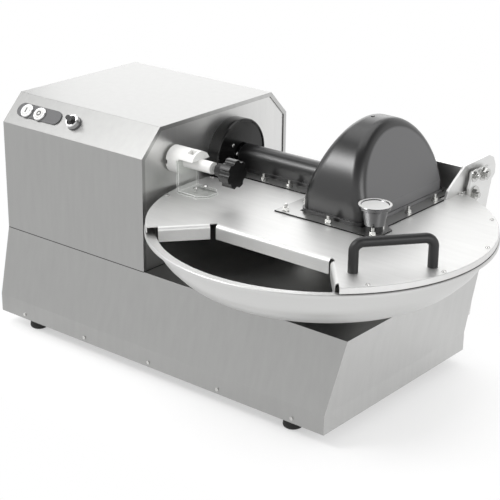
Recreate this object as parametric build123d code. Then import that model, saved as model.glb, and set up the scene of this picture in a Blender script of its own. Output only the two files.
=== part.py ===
"""Table-top meat bowl cutter: a rotating bowl under a hinged lid, with a knife
shaft driven from a motor housing.  Millimetres, +Z up, origin on the floor under
the middle of the machine's outline.

The pieces are drawn in a bench frame whose zero is the front left corner of the
base cabinet at sheet level, and moved to the part frame when they are written.
"""
import os
from math import atan2, cos, degrees, hypot, pi, radians, sin, sqrt, tan

from build123d import *

# ---------------------------------------------------------------- driving sizes
# base cabinet (folded stainless sheet)
BASE_L = 800.0          # length at the foot
BASE_D = 443.0          # depth at the foot
BASE_H = 170.0          # deck height above the sheet's lower edge
BASE_KNEE_H = 36.0      # upright band below the sloped faces
BASE_FRONT_SLOPE = 28.0  # how far the front leans back at the deck
BASE_END_FLARE = 22.0   # how far the right end leans out at the deck
SHEET = 2.0             # cabinet sheet
FOOT_R = 18.0
FOOT_H = 25.0
FOOT_INSET_X = 73.0
FOOT_INSET_X_RIGHT = 88.0
FOOT_INSET_Y = 31.0

# motor housing on the left half of the base
HOUSING_L = 364.8
HOUSING_TOP = 434.5     # height of the roof
HOUSING_CHAMFER = 48.5  # roof chamfer, along Y
HOUSING_CHAMFER_Z = 49.5
COVER_RETURN = 8.0      # folded flange round the right end
PANEL_T = 2.0

# bowl: turned ring trough with a raised centre
BOWL_WALL = 2.0
BOWL_BODY_R = 288.0     # outside of the upright wall
RIM_FOLD = 17.0
BOWL_RIM_R = BOWL_BODY_R + RIM_FOLD  # outside of the folded rim
RIM_GAP = 2.6           # between the turning rim and the housing's end
BOWL_X = HOUSING_L + RIM_GAP + BOWL_RIM_R
BOWL_Y = 150.4
BOWL_RIM_Z = 301.0
BOWL_BOTTOM_Z = 213.0
BOWL_CONE_R = 34.0      # flat crown of the centre cone
BOWL_LOW_BEND_R = 90.0
BOWL_HIGH_BEND_R = 60.0
BOWL_BEND_Z = BOWL_BOTTOM_Z + 58.0  # where the 45 degree flank would meet the upright wall

# knife shaft
SHAFT_Y = 286.0
SHAFT_Z = 339.0
SHAFT_R = 12.5
SHAFT_X0 = 26.0
SLEEVE_R = 17.0
KNIFE_R = 117.0
KNIFE_T = 4.0
KNIFE_PITCH = 13.0      # along the shaft
KNIFE_COUNT = 3
KNIFE_MID_X = BOWL_X + 14.6
KNIFE_HUB_R = 27.0
SLEEVE_END_X = KNIFE_MID_X - 35.0
HUB_R = 70.0            # collar over the shaft opening
HUB_LEN = 26.0
HUB_SHIFT = 9.0         # collar's middle stands this far in front of the shaft
HUB_RIM = 4.0           # raised edge round the collar's face
HUB_RECESS = 2.0

# lid
LID_R = BOWL_RIM_R - 2.0
LID_TOP = 313.0
LID_SHEET = 2.0
LID_SKIRT_H = 10.5
FEED_Y = 17.0           # straight inner edge of the feed opening
FEED_HALF = 125.0
FEED_ANGLE = 50.0       # side edges of the feed opening, from X
FEED_GAP = 11.0         # open corner between two folded lips
LIP_BEND_R = 7.0
LIP_DROP = 26.0
LIP_END_R = BOWL_BODY_R - 5.0  # lips stop short of the bowl's wall

# knife cover and shaft cover (one flange plate carries both)
COVER_T = 3.0
DOME_X = KNIFE_MID_X
DOME_R = 129.0
DOME_Z = SHAFT_Z + 2.0
DOME_HALF = 67.0        # half thickness at the foot
DOME_TOP_HALF = 27.5    # half thickness at the crown
DOME_EDGE_R = 22.0
TUNNEL_R = 22.5
TUNNEL_T = 2.5
TUNNEL_STEP = 1.5
PLINTH_STEP = 4.0
PLINTH_H = 6.5
PLATE_T = 2.5
PLATE_X0 = DOME_X - 102.0
PLATE_X1 = DOME_X + 93.0
PLATE_Y0 = SHAFT_Y - 156.0
PLATE_Y1 = SHAFT_Y + 142.0
PLATE_TAB = 17.0        # corner tab under the clamp knob
PLATE_TAB_Y = PLATE_Y0 + 52.0
STRIP_HALF = 50.0       # flange strip beside the shaft cover
NUT_INSET = 10.0
STUD_R = 3.0
NUT_R = 5.8
NUT_H = 5.0
WASHER_R = 6.5
CLAMP_STUD_R = 5.0

# lid hinge
PIVOT_Y = BASE_D + 45.0
PIVOT_Z = SHAFT_Z
PIVOT_R = 6.0
GUSSET_X = BOWL_X + 105.6  # middle of the right gusset
GUSSET_T = 5.0
GUSSET_TAIL_Y = BASE_D + 106.0
SUPPORT_GAP = 5.5       # between gusset and support plate
SUPPORT_T = 5.0

# safety interlock on the lid
LOCK_Y = BOWL_Y - 38.4
LOCK_Z = 369.0
LOCK_BODY_R = 25.0
LOCK_BODY_X0 = HOUSING_L + 2.7
LOCK_BODY_X1 = LOCK_BODY_X0 + 62.5
LOCK_NOSE_R = 11.0
LOCK_NOSE_X1 = LOCK_BODY_X1 + 30.0
LOCK_PIN_R = 4.0
BRACKET_T = 5.0
BRACKET_X = LOCK_BODY_X0 + 24.5
BRACKET_HALF = 27.0
BRACKET_FOOT = 58.0
STAR_R = 26.0
STAR_T = 22.0
STAR_LOBES = 7

# clamp knob on the plate's corner tab
CLAMP_X = PLATE_X1 - 4.5
CLAMP_Y = PLATE_Y0 + 30.0
CLAMP_LIFT = 11.0       # bush under the knob
CLAMP_H = 36.3
CLAMP_HEAD_R = 29.5
CLAMP_DISH_R = 23.7
CLAMP_STEM_R = 18.0     # at the foot; widens to the head

# bridge handle on the lid
HANDLE_X = BOWL_X + 221.6
HANDLE_Y = BOWL_Y - 109.4
HANDLE_ANGLE = 51.1
HANDLE_CENTRES = 131.0
HANDLE_H = 58.0
HANDLE_R = 8.4

# drive inside the housing and base
MOTOR_Y = 180.0
MOTOR_Z = 90.0
MOTOR_R = 60.0
MOTOR_X0 = 100.0
MOTOR_L = 200.0
MOTOR_PULLEY_R = 50.0
KNIFE_PULLEY_R = 40.0
PULLEY_X = 54.0
BELT_W = 11.0
BELT_H = 8.0
BELT_PITCH = 16.0
SPINDLE_R = 18.0
BOWL_MOTOR_R = 48.0
BOWL_MOTOR_L = 164.0

# operating panel on the front chamfer
PANEL_X = 77.5
PANEL_S = 34.0          # up the slope
PANEL_LEN = 116.0
PANEL_H = 28.5
PLATE_THK = 2.5
BUTTON_X = (47.0, 82.0)
BUTTON_S = 32.5
BUTTON_R = 10.0
BEZEL_R = 14.0
BEZEL_H = 4.0
SELECTOR_X = 172.0
SELECTOR_S = 33.5
SELECTOR_R = 14.5
SELECTOR_H = 12.0
SELECTOR_TURN = 160.0

# named clearances
RUN = 0.05              # running fit, radial
LOOSE = 0.3             # parts of different bodies that must not touch
SEAT = 0.2              # loose fit inside one body

# frame origin in the bench frame
ORIGIN = ((BOWL_X + BOWL_RIM_R) / 2, (BOWL_Y - BOWL_RIM_R + GUSSET_TAIL_Y) / 2, -FOOT_H)

# derived places
TROUGH_R = SHAFT_Y - BOWL_Y              # trough's deepest ring, from the bowl axis
HOUSING_BACK = BASE_D
HOUSING_FRONT = BASE_FRONT_SLOPE
PANEL_FACE = HOUSING_L - SHEET           # outer face of the recessed side panel
PLATE_TOP = LID_TOP + PLATE_T
PLINTH_TOP = PLATE_TOP + PLINTH_H
LID_UNDER = LID_TOP - LID_SHEET


# ---------------------------------------------------------------- small helpers
def block(x0, x1, y0, y1, z0, z1):
    """Box between two corners."""
    return Pos((x0 + x1) / 2, (y0 + y1) / 2, (z0 + z1) / 2) * Box(x1 - x0, y1 - y0, z1 - z0)


def rod(centre, axis, length, radius):
    """Cylinder that starts at centre and runs along an axis letter."""
    turn = {"X": Rot(0, 90, 0), "Y": Rot(-90, 0, 0), "Z": Rot(0, 0, 0)}[axis]
    bar = Cylinder(radius, length, align=(Align.CENTER, Align.CENTER, Align.MIN))
    return Pos(*centre) * turn * bar


def hexagon(centre, axis, length, radius):
    """Hexagon prism, radius across corners."""
    turn = {"X": Rot(0, 90, 0), "Y": Rot(-90, 0, 0), "Z": Rot(0, 0, 0)}[axis]
    return Pos(*centre) * turn * extrude(RegularPolygon(radius, 6), length)


def turned(profile, centre, axis="Z"):
    """Revolve a closed (radius, height) outline about an axis letter."""
    turn = {"X": Rot(0, 90, 0), "Y": Rot(-90, 0, 0), "Z": Rot(0, 0, 0)}[axis]
    outline = Polyline([(r, 0, h) for r, h in profile], close=True)
    return Pos(*centre) * turn * revolve(make_face(outline), Axis.Z)


def plate_x(outline, x0, x1):
    """Plate between two X planes with a (y, z) outline."""
    edge = Polyline([(x0, y, z) for y, z in outline], close=True)
    return extrude(make_face(edge), amount=x1 - x0, dir=(1, 0, 0))


def plate_z(outline, z0, z1):
    """Plate between two Z planes with an (x, y) outline."""
    edge = Polyline([(x, y, z0) for x, y in outline], close=True)
    return extrude(make_face(edge), amount=z1 - z0, dir=(0, 0, 1))


def joined(pieces):
    """Union of a list of solids."""
    total = pieces[0]
    for piece in pieces[1:]:
        total = total + piece
    return total


# ---------------------------------------------------------------- base cabinet
def base_prism(inset, z0):
    """Cabinet outline, drawn in by a sheet thickness."""
    low = [(inset, inset), (BASE_L - inset, inset), (BASE_L - inset, BASE_D - inset), (inset, BASE_D - inset)]
    right = BASE_L + BASE_END_FLARE - inset
    front = BASE_FRONT_SLOPE + inset
    high = [(inset, front), (right, front), (right, BASE_D - inset), (inset, BASE_D - inset)]
    top_z = BASE_H - inset
    band = plate_z(low, z0, BASE_KNEE_H)
    lower = make_face(Polyline([(x, y, BASE_KNEE_H) for x, y in low], close=True))
    upper = make_face(Polyline([(x, y, top_z) for x, y in high], close=True))
    return band + loft([lower, upper], ruled=True)


def base_cabinet():
    shell = base_prism(0, 0) - base_prism(SHEET, -1)
    spindle_hole = rod((BOWL_X, BOWL_Y, BASE_H - 3 * SHEET), "Z", 6 * SHEET, SPINDLE_R + 8)
    belt_slot = block(PULLEY_X - 24, PULLEY_X + 24, MOTOR_Y - MOTOR_PULLEY_R - 20, SHAFT_Y + 60,
                      BASE_H - 2 * SHEET, BASE_H + SHEET)
    gland_hole = rod((GLAND_X, BASE_D - 2 * SHEET, GLAND_Z), "Y", 4 * SHEET, 10 + SEAT)
    return shell - spindle_hole - belt_slot - gland_hole


def base_bottom_plate():
    edge = 2 * SHEET
    plate = block(edge, BASE_L - edge, edge, BASE_D - edge, 0, SHEET)
    slot = block(-30, 30, -2, 2, -SHEET, 2 * SHEET)
    for row in range(6):
        for column in (420.0, 520.0):
            plate -= Pos(column, 130.0 + 16 * row, 0) * slot
    return plate


def foot(x, y):
    r = FOOT_R
    outline = [(0, -FOOT_H), (r - 4, -FOOT_H), (r - 1, -FOOT_H + 2), (r, -FOOT_H + 5), (r - 2, 0), (0, 0)]
    return turned(outline, (x, y, 0))


def rubber_feet():
    """Four separate rubber feet."""
    xs = (FOOT_INSET_X, BASE_L - FOOT_INSET_X_RIGHT)
    ys = (FOOT_INSET_Y, BASE_D - FOOT_INSET_Y)
    return joined([foot(x, y) for x in xs for y in ys])


def cabinet_screws():
    """Pan heads along the upright band, front and back."""
    count = 5
    first = 66.0
    pitch = (BASE_L - 2 * first - 2) / (count - 1)
    heads = []
    for i in range(count):
        x = first + i * pitch
        heads.append(rod((x, -1.6, 9), "Y", 1.6, 3.4))
        heads.append(rod((x, BASE_D, 9), "Y", 1.6, 3.4))
    return joined(heads)


# ---------------------------------------------------------------- motor housing
def housing_outline(inset=0.0):
    """(y, z) outline of the housing, drawn in by inset."""
    dy = HOUSING_CHAMFER
    dz = HOUSING_CHAMFER_Z
    slope = hypot(dy, dz)
    # corner shift that keeps the chamfer parallel
    along = inset * (slope - dz) / dy
    down = inset * (slope - dy) / dz
    front = HOUSING_FRONT + inset
    back = HOUSING_BACK - inset
    top = HOUSING_TOP - inset
    knee = HOUSING_TOP - dz - along
    shoulder = dy + down - inset
    return [(front, BASE_H), (back, BASE_H), (back, knee), (back - shoulder, top),
            (front + shoulder, top), (front, knee)]


def on_chamfer(x, s, n=0.0):
    """Location on the front chamfer: x along it, s up the slope, n out of it."""
    tilt = degrees(atan2(HOUSING_CHAMFER_Z, HOUSING_CHAMFER))
    foot_z = HOUSING_TOP - HOUSING_CHAMFER_Z
    return Pos(0, HOUSING_FRONT, foot_z) * Rot(tilt, 0, 0) * Pos(x, s, n)


def housing_cover():
    cover = plate_x(housing_outline(), 0, HOUSING_L)
    cover -= plate_x(housing_outline(SHEET), SHEET, HOUSING_L - SHEET)
    cover -= plate_x(housing_outline(COVER_RETURN), HOUSING_L - 2 * SHEET, HOUSING_L + SHEET)
    for x in BUTTON_X:
        cover -= on_chamfer(x, BUTTON_S, -4) * Cylinder(BEZEL_R - 3 + SEAT, 20)
    cover -= on_chamfer(SELECTOR_X, SELECTOR_S, -4) * Cylinder(BEZEL_R - 3 + SEAT, 20)
    slot = Box(46, 6 * SHEET, 4)
    for column in range(4):
        for row in range(7):
            cover -= Pos(90 + 62 * column, HOUSING_BACK, 235 + 13 * row) * slot
    return cover


def housing_side_panel():
    outline = housing_outline(SHEET + SEAT)
    panel = plate_x(outline, PANEL_FACE - PANEL_T, PANEL_FACE)
    return panel - rod((PANEL_FACE - 2 * PANEL_T, SHAFT_Y, SHAFT_Z), "X", 4 * PANEL_T, SLEEVE_R + 6)


def hub_collar():
    """Black collar over the shaft opening, with a raised edge and two screws on its face."""
    r = HUB_R
    face = HUB_LEN - HUB_RECESS
    outline = [(0, 0), (r, 0), (r, HUB_LEN - 2.5), (r - 1.8, HUB_LEN), (r - HUB_RIM, HUB_LEN),
               (r - HUB_RIM - 1.5, face), (0, face)]
    collar = turned(outline, (PANEL_FACE, SHAFT_Y - HUB_SHIFT, SHAFT_Z + 1), "X")
    for dy, dz in ((-34, 25), (-22, 6)):
        collar += rod((PANEL_FACE + face, SHAFT_Y + dy, SHAFT_Z + dz), "X", 1.6, 3.2)
    # flat below, so the bowl's rim turns past it
    collar -= block(PANEL_FACE - 1, PANEL_FACE + HUB_LEN + 1, SHAFT_Y - 2 * HUB_R, SHAFT_Y + 2 * HUB_R,
                    0, BOWL_RIM_Z + 3)
    return collar - rod((PANEL_FACE - 1, SHAFT_Y, SHAFT_Z), "X", HUB_LEN + 2, SLEEVE_R + SEAT)


# ---------------------------------------------------------------- knife drive
FRONT_BEARING_X = PANEL_FACE - PANEL_T - 34.0
REAR_BEARING_X = 112.0
BEARING_R = 46.0


def bearing(x, length):
    """Flange bearing: square plate with a turned boss, bored for the shaft."""
    plate = block(x + length - 12, x + length, SHAFT_Y - 52, SHAFT_Y + 52, SHAFT_Z - 52, SHAFT_Z + 52)
    plate = fillet(plate.edges().filter_by(Axis.X), 14)
    boss = rod((x, SHAFT_Y, SHAFT_Z), "X", length, BEARING_R)
    return plate + boss - rod((x - 1, SHAFT_Y, SHAFT_Z), "X", length + 2, SHAFT_R + RUN)


def bearing_stand():
    """Upright plate with a foot, bolted to the deck, that carries the rear bearing."""
    x = REAR_BEARING_X + 34
    y0 = SHAFT_Y - 60
    y1 = SHAFT_Y + 60
    web = block(x, x + 8, y0, y1, BASE_H, SHAFT_Z + 58)
    shoe = block(x, x + 70, y0, y1, BASE_H, BASE_H + 8)
    stand = web + shoe
    for y in (y0 + 8, y1 - 14):
        edge = Polyline([(x + 8, y, BASE_H + 8), (x + 66, y, BASE_H + 8), (x + 8, y, BASE_H + 110)], close=True)
        stand += extrude(make_face(edge), amount=6, dir=(0, 1, 0))
    return stand - rod((x - 1, SHAFT_Y, SHAFT_Z), "X", 10, SHAFT_R + 6)


def shaft_sleeve():
    """Fixed tube round the shaft, with a plain bush in its free end."""
    x0 = PANEL_FACE - PANEL_T
    length = SLEEVE_END_X - x0
    wide = SHAFT_R + 3
    bush = 30.0
    outline = [(wide, 0), (SLEEVE_R, 0), (SLEEVE_R, length - 2), (SLEEVE_R - 2, length),
               (SHAFT_R + RUN, length), (SHAFT_R + RUN, length - bush), (wide, length - bush)]
    return turned(outline, (x0, SHAFT_Y, SHAFT_Z), "X")


def stack_x0():
    """Where the knife stack starts, just past the sleeve."""
    return KNIFE_MID_X - (KNIFE_COUNT - 1) * KNIFE_PITCH / 2 - KNIFE_T / 2


def stack_x1():
    return stack_x0() + (KNIFE_COUNT - 1) * KNIFE_PITCH + KNIFE_T


def knife_shaft():
    shoulder = stack_x0() - 1
    end = stack_x1() + 26
    outline = [(0, SHAFT_X0), (SHAFT_R - 1, SHAFT_X0), (SHAFT_R, SHAFT_X0 + 1), (SHAFT_R, shoulder - 10),
               (SHAFT_R + 6, shoulder - 10), (SHAFT_R + 6, shoulder), (SHAFT_R - 3, shoulder),
               (SHAFT_R - 3, end - 1), (SHAFT_R - 4, end), (0, end)]
    return turned(outline, (0, SHAFT_Y, SHAFT_Z), "X")


def knife(index):
    """Sickle blade clamped between spacers; each one turned on by a third of a turn."""
    tip = KNIFE_R
    lead = ThreePointArc((-14, -22), (0.58 * tip, -0.66 * tip), (tip, 0))
    back = ThreePointArc((tip, 0), (0.5 * tip, 0.02 * tip), (6, KNIFE_HUB_R - 1))
    blade = make_face([lead, back, Line((6, KNIFE_HUB_R - 1), (-14, -22))])
    outline = (blade & Circle(tip)) + Circle(KNIFE_HUB_R) - Circle(SHAFT_R - 3 + RUN)
    solid = extrude(outline, KNIFE_T)
    x = stack_x0() + index * KNIFE_PITCH
    return Pos(x, SHAFT_Y, SHAFT_Z) * Rot(0, 90, 0) * Rot(0, 0, index * 360 / KNIFE_COUNT) * solid


def knife_spacers():
    """Rings between the knives."""
    rings = []
    for i in range(KNIFE_COUNT - 1):
        x = stack_x0() + i * KNIFE_PITCH + KNIFE_T
        ring = rod((x, SHAFT_Y, SHAFT_Z), "X", KNIFE_PITCH - KNIFE_T, KNIFE_HUB_R - 3)
        rings.append(ring - rod((x - 1, SHAFT_Y, SHAFT_Z), "X", KNIFE_PITCH, SHAFT_R - 3 + RUN))
    return joined(rings)


def knife_nut():
    x = stack_x1()
    nut = hexagon((x + 4, SHAFT_Y, SHAFT_Z), "X", 14, 23)
    nut += rod((x, SHAFT_Y, SHAFT_Z), "X", 4, KNIFE_HUB_R - 2)
    return nut - rod((x - 1, SHAFT_Y, SHAFT_Z), "X", 20, SHAFT_R - 3 + RUN)


def pulley(centre_y, centre_z, radius, bore):
    """Two-groove V-belt pulley, centred on the belt plane."""
    half = BELT_PITCH
    floor = radius - BELT_H - LOOSE
    lip = BELT_W / 2 + LOOSE + 0.6
    root = BELT_W / 2 + LOOSE
    outline = [(bore, -half), (radius, -half)]
    for middle in (-BELT_PITCH / 2, BELT_PITCH / 2):
        outline += [(radius, middle - lip), (floor, middle - root), (floor, middle + root), (radius, middle + lip)]
    outline += [(radius, half), (bore, half)]
    return turned(outline, (PULLEY_X, centre_y, centre_z), "X")


def motor_rotor():
    """Motor shaft with its pulley."""
    end = MOTOR_X0 + 24
    shaft = rod((PULLEY_X - BELT_PITCH, MOTOR_Y, MOTOR_Z), "X", end - PULLEY_X + BELT_PITCH, 12)
    return shaft + pulley(MOTOR_Y, MOTOR_Z, MOTOR_PULLEY_R, 11.5)


def drive_belts():
    """Two belts as closed loops in the pulley grooves."""
    def loop(extra):
        rings = Circle(MOTOR_PULLEY_R - BELT_H + extra).edges()
        rings += (Pos(SHAFT_Y - MOTOR_Y, SHAFT_Z - MOTOR_Z) * Circle(KNIFE_PULLEY_R - BELT_H + extra)).edges()
        return make_hull(rings)
    band = extrude(loop(BELT_H - 1), BELT_W) - extrude(loop(0), BELT_W)
    belts = []
    for middle in (-BELT_PITCH / 2, BELT_PITCH / 2):
        frame = Plane((PULLEY_X + middle - BELT_W / 2, MOTOR_Y, MOTOR_Z), x_dir=(0, 1, 0), z_dir=(1, 0, 0))
        belts.append(frame.location * band)
    return joined(belts)


def drive_motor():
    """Finned motor body with end bells, feet and a terminal box."""
    axis_at = (MOTOR_X0, MOTOR_Y, MOTOR_Z)
    r = MOTOR_R
    body = turned([(12 + LOOSE, 0), (30, 0), (34, 6), (r - 6, 10), (r - 4, 26), (r - 4, MOTOR_L - 40),
                   (r - 6, MOTOR_L - 38), (r - 6, MOTOR_L - 6), (r - 14, MOTOR_L), (0, MOTOR_L), (0, 28),
                   (12 + LOOSE, 28)], axis_at, "X")
    fin = block(MOTOR_X0 + 28, MOTOR_X0 + MOTOR_L - 44, -1.5, 1.5, r - 8, r)
    for i in range(16):
        body += Pos(0, MOTOR_Y, MOTOR_Z) * Rot(22.5 * i, 0, 0) * fin
    top = MOTOR_Z - r * 0.45
    for side in (-1, 1):
        y = MOTOR_Y + side * (r * 0.72)
        body += block(MOTOR_X0 + 40, MOTOR_X0 + 140, y - 14, y + 14, MOUNT_TOP, top)
    body += block(MOTOR_X0 + 50, MOTOR_X0 + 120, MOTOR_Y - r - 22, MOTOR_Y - r + 10, MOTOR_Z - 20, MOTOR_Z + 24)
    return body


MOUNT_TOP = SHEET + 10.0


def motor_mount():
    """Slide plate on the cabinet floor; the belts are tightened along its slots."""
    plate = block(MOTOR_X0 + 20, MOTOR_X0 + 160, MOTOR_Y - 75, MOTOR_Y + 75, SHEET, MOUNT_TOP)
    for x in (MOTOR_X0 + 30, MOTOR_X0 + 150):
        for y in (MOTOR_Y - 62, MOTOR_Y + 62):
            plate -= block(x - 4, x + 4, y - 9, y + 9, 0, MOUNT_TOP + 1)
    return plate


# ---------------------------------------------------------------- bowl and its drive
GEARBOX_TOP = BASE_H - SHEET
GEARBOX_H = 96.0


def bowl():
    """Ring trough turned from one sheet, with a folded rim and a raised centre."""
    t = BOWL_WALL
    deep_in = SHAFT_Z - BOWL_BOTTOM_Z - t
    deep_out = deep_in + t
    crown = SHAFT_Z - sqrt(deep_in ** 2 - (TROUGH_R - BOWL_CONE_R) ** 2)
    under_r = TROUGH_R - sqrt(deep_out ** 2 - (SHAFT_Z - crown + t) ** 2)
    corner_r = BOWL_BODY_R - (BOWL_BEND_Z - BOWL_BOTTOM_Z)
    low_start = corner_r - BOWL_LOW_BEND_R * tan(radians(22.5))
    low_z = BOWL_BOTTOM_Z + BOWL_LOW_BEND_R
    high_z = BOWL_BEND_Z + BOWL_HIGH_BEND_R * tan(radians(22.5))
    high_r = BOWL_BODY_R - BOWL_HIGH_BEND_R

    def arc(cx, cz, r, a0, a1):
        """Arc in the radial plane, angles from +radius."""
        spots = [(cx + r * cos(radians(a)), 0, cz + r * sin(radians(a))) for a in (a0, (a0 + a1) / 2, a1)]
        return ThreePointArc(*spots)

    def chain(offset, crown_z, crown_r, rim):
        """One face of the wall from the crown to the rim."""
        deep = deep_out - offset
        start = degrees(atan2(crown_z - SHAFT_Z, crown_r - TROUGH_R))
        if start > 0:
            start -= 360
        edges = [Line((0, 0, crown_z), (crown_r, 0, crown_z))]
        edges.append(arc(TROUGH_R, SHAFT_Z, deep, start, -90))
        edges.append(Line(edges[-1] @ 1, (low_start, 0, SHAFT_Z - deep)))
        edges.append(arc(low_start, low_z, BOWL_LOW_BEND_R - offset, -90, -45))
        flank = arc(high_r, high_z, BOWL_HIGH_BEND_R - offset, -45, 0)
        edges.append(Line(edges[-1] @ 1, flank @ 0))
        edges.append(flank)
        edges.append(Polyline([flank @ 1] + [(r, 0, z) for r, z in rim]))
        return edges

    z = BOWL_RIM_Z
    edge_r = BOWL_RIM_R
    lip_under = [(BOWL_BODY_R, z - 4), (edge_r - t, z - 2.2), (edge_r - t, z - 5.5), (edge_r, z - 5.5)]
    lip_top = [(BOWL_BODY_R - t, z - 4), (BOWL_BODY_R - t + 1.5, z - 2), (edge_r - 1.5, z), (edge_r, z - 1.2)]
    outer = chain(0, crown - t, under_r, lip_under)
    inner = chain(t, crown, BOWL_CONE_R, lip_top)
    rim_close = Line(outer[-1] @ 1, inner[-1] @ 1)
    axis_close = Line(outer[0] @ 0, inner[0] @ 0)
    body = revolve(make_face(outer + inner + [rim_close, axis_close]), Axis.Z)
    body = Pos(BOWL_X, BOWL_Y, 0) * body
    return body - rod((BOWL_X, BOWL_Y, crown - 3 * t), "Z", 5 * t, SPINDLE_STUD_R + SEAT)


def bowl_crown():
    """Height of the flat crown inside the bowl."""
    deep_in = SHAFT_Z - BOWL_BOTTOM_Z - BOWL_WALL
    return SHAFT_Z - sqrt(deep_in ** 2 - (TROUGH_R - BOWL_CONE_R) ** 2)


SPINDLE_STUD_R = 10.0


def bowl_hub():
    """Boss welded under the crown; it seats on the spindle's flange."""
    top = bowl_crown() - BOWL_WALL
    bottom = top - 30
    boss = turned([(SPINDLE_R + RUN, 0), (27, 0), (30, 8), (30, 30), (SPINDLE_STUD_R + SEAT, 30),
                   (SPINDLE_STUD_R + SEAT, 26), (SPINDLE_R + RUN, 26)], (BOWL_X, BOWL_Y, bottom))
    return boss


def bowl_spindle():
    """Upright output shaft of the bowl gearbox."""
    top = bowl_crown() - BOWL_WALL
    seat = top - 30
    r = SPINDLE_R
    z0 = GEARBOX_TOP - GEARBOX_H + 14
    outline = [(0, z0), (r, z0), (r, seat - 10), (r + 9, seat - 10), (r + 9, seat), (r, seat), (r, top - 4.5),
               (SPINDLE_STUD_R, top - 4.5), (SPINDLE_STUD_R, top + 18), (0, top + 18)]
    return turned(outline, (BOWL_X, BOWL_Y, 0))


def bowl_nut():
    z = bowl_crown()
    nut = hexagon((BOWL_X, BOWL_Y, z + 2), "Z", 11, 15)
    nut += rod((BOWL_X, BOWL_Y, z), "Z", 2, 18)
    return nut - rod((BOWL_X, BOWL_Y, z - 1), "Z", 20, SPINDLE_STUD_R + RUN)


def gearbox_case():
    """Worm gearbox hung from the deck, with ribs and a bored output."""
    z1 = GEARBOX_TOP
    z0 = z1 - GEARBOX_H
    case = block(BOWL_X - 62, BOWL_X + 62, BOWL_Y - 58, BOWL_Y + 58, z0, z1 - 10)
    case = fillet(case.edges().filter_by(Axis.Z), 20)
    case += rod((BOWL_X, BOWL_Y, z1 - 10), "Z", 10, 76)
    case += rod((BOWL_X - 82, BOWL_Y, z0 + 40), "X", 30, 44)
    return case - rod((BOWL_X, BOWL_Y, z0 + 12), "Z", GEARBOX_H, SPINDLE_R + RUN)


def bowl_motor():
    """Small flange motor on the side of the worm gearbox."""
    z = GEARBOX_TOP - GEARBOX_H + 40
    x1 = BOWL_X - 82
    r = BOWL_MOTOR_R
    length = BOWL_MOTOR_L
    body = turned([(0, 0), (r - 10, 0), (r - 4, 6), (r - 4, length - 14), (r, length - 12), (r, length), (0, length)],
                  (x1 - length, BOWL_Y, z), "X")
    fin = block(x1 - length + 14, x1 - 20, -1.5, 1.5, r - 8, r)
    for i in range(12):
        body += Pos(0, BOWL_Y, z) * Rot(30 * i, 0, 0) * fin
    return body


def deck_seal():
    """Raised collar that keeps liquid out of the spindle opening."""
    bore = SPINDLE_R + LOOSE
    return turned([(bore, 0), (46, 0), (46, 4), (34, 8), (30, 24), (bore, 24)], (BOWL_X, BOWL_Y, BASE_H))


# ---------------------------------------------------------------- lid
def feed_corner(side):
    """Inner corner of the feed opening on one side."""
    return (BOWL_X + side * FEED_HALF, FEED_Y)


def feed_outline(grow=0.0):
    """(x, y) outline of the feed opening, running out past the lid's front."""
    reach = 2 * LID_R
    run = reach * cos(radians(FEED_ANGLE))
    fall = reach * sin(radians(FEED_ANGLE))
    left = feed_corner(-1)
    right = feed_corner(1)
    return [(left[0], left[1] + grow), (right[0], right[1] + grow),
            (right[0] + run, right[1] - fall), (left[0] - run, left[1] - fall)]


def lip(start, heading, length):
    """Folded lip: a quarter bend and a hanging flange with a hem, along one edge."""
    r = LIP_BEND_R
    t = LID_SHEET
    bend = (make_face(Polyline([(0, 0), (r, 0), (r, -r), (0, -r)], close=True)) & (Pos(0, -r) * Circle(r)))
    bend -= Pos(0, -r) * Circle(r - t)
    drop = Pos(r - t / 2, -(r + LIP_DROP) / 2) * Rectangle(t, LIP_DROP - r)
    hem = Pos(r - t - 0.4, -LIP_DROP + 2.5) * Rectangle(2 * t - 0.8, 5)
    section = bend + drop + hem
    ux = cos(radians(heading))
    uy = sin(radians(heading))
    frame = Plane((start[0], start[1], LID_TOP), x_dir=(uy, -ux, 0), z_dir=(-ux, -uy, 0))
    return extrude(frame * section, amount=length, dir=(ux, uy, 0))


def lid_lips():
    """Lips along the three edges of the feed opening, open at the corners."""
    gap = FEED_GAP / 2
    inner = lip((BOWL_X - FEED_HALF + gap, FEED_Y), 0, 2 * FEED_HALF - 2 * gap)
    sides = []
    for side in (-1, 1):
        cx, cy = feed_corner(side)
        ux = side * cos(radians(FEED_ANGLE))
        uy = -sin(radians(FEED_ANGLE))
        # distance along the edge at which it reaches LIP_END_R
        rel_x = cx - BOWL_X
        rel_y = cy - BOWL_Y
        half_b = rel_x * ux + rel_y * uy
        reach = -half_b + sqrt(half_b ** 2 - (rel_x ** 2 + rel_y ** 2 - LIP_END_R ** 2))
        if side < 0:
            start = (cx + ux * reach, cy + uy * reach)
            sides.append(lip(start, FEED_ANGLE, reach - FEED_GAP))
        else:
            start = (cx + ux * FEED_GAP, cy + uy * FEED_GAP)
            sides.append(lip(start, -FEED_ANGLE, reach - FEED_GAP))
    return inner + sides[0] + sides[1]


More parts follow.
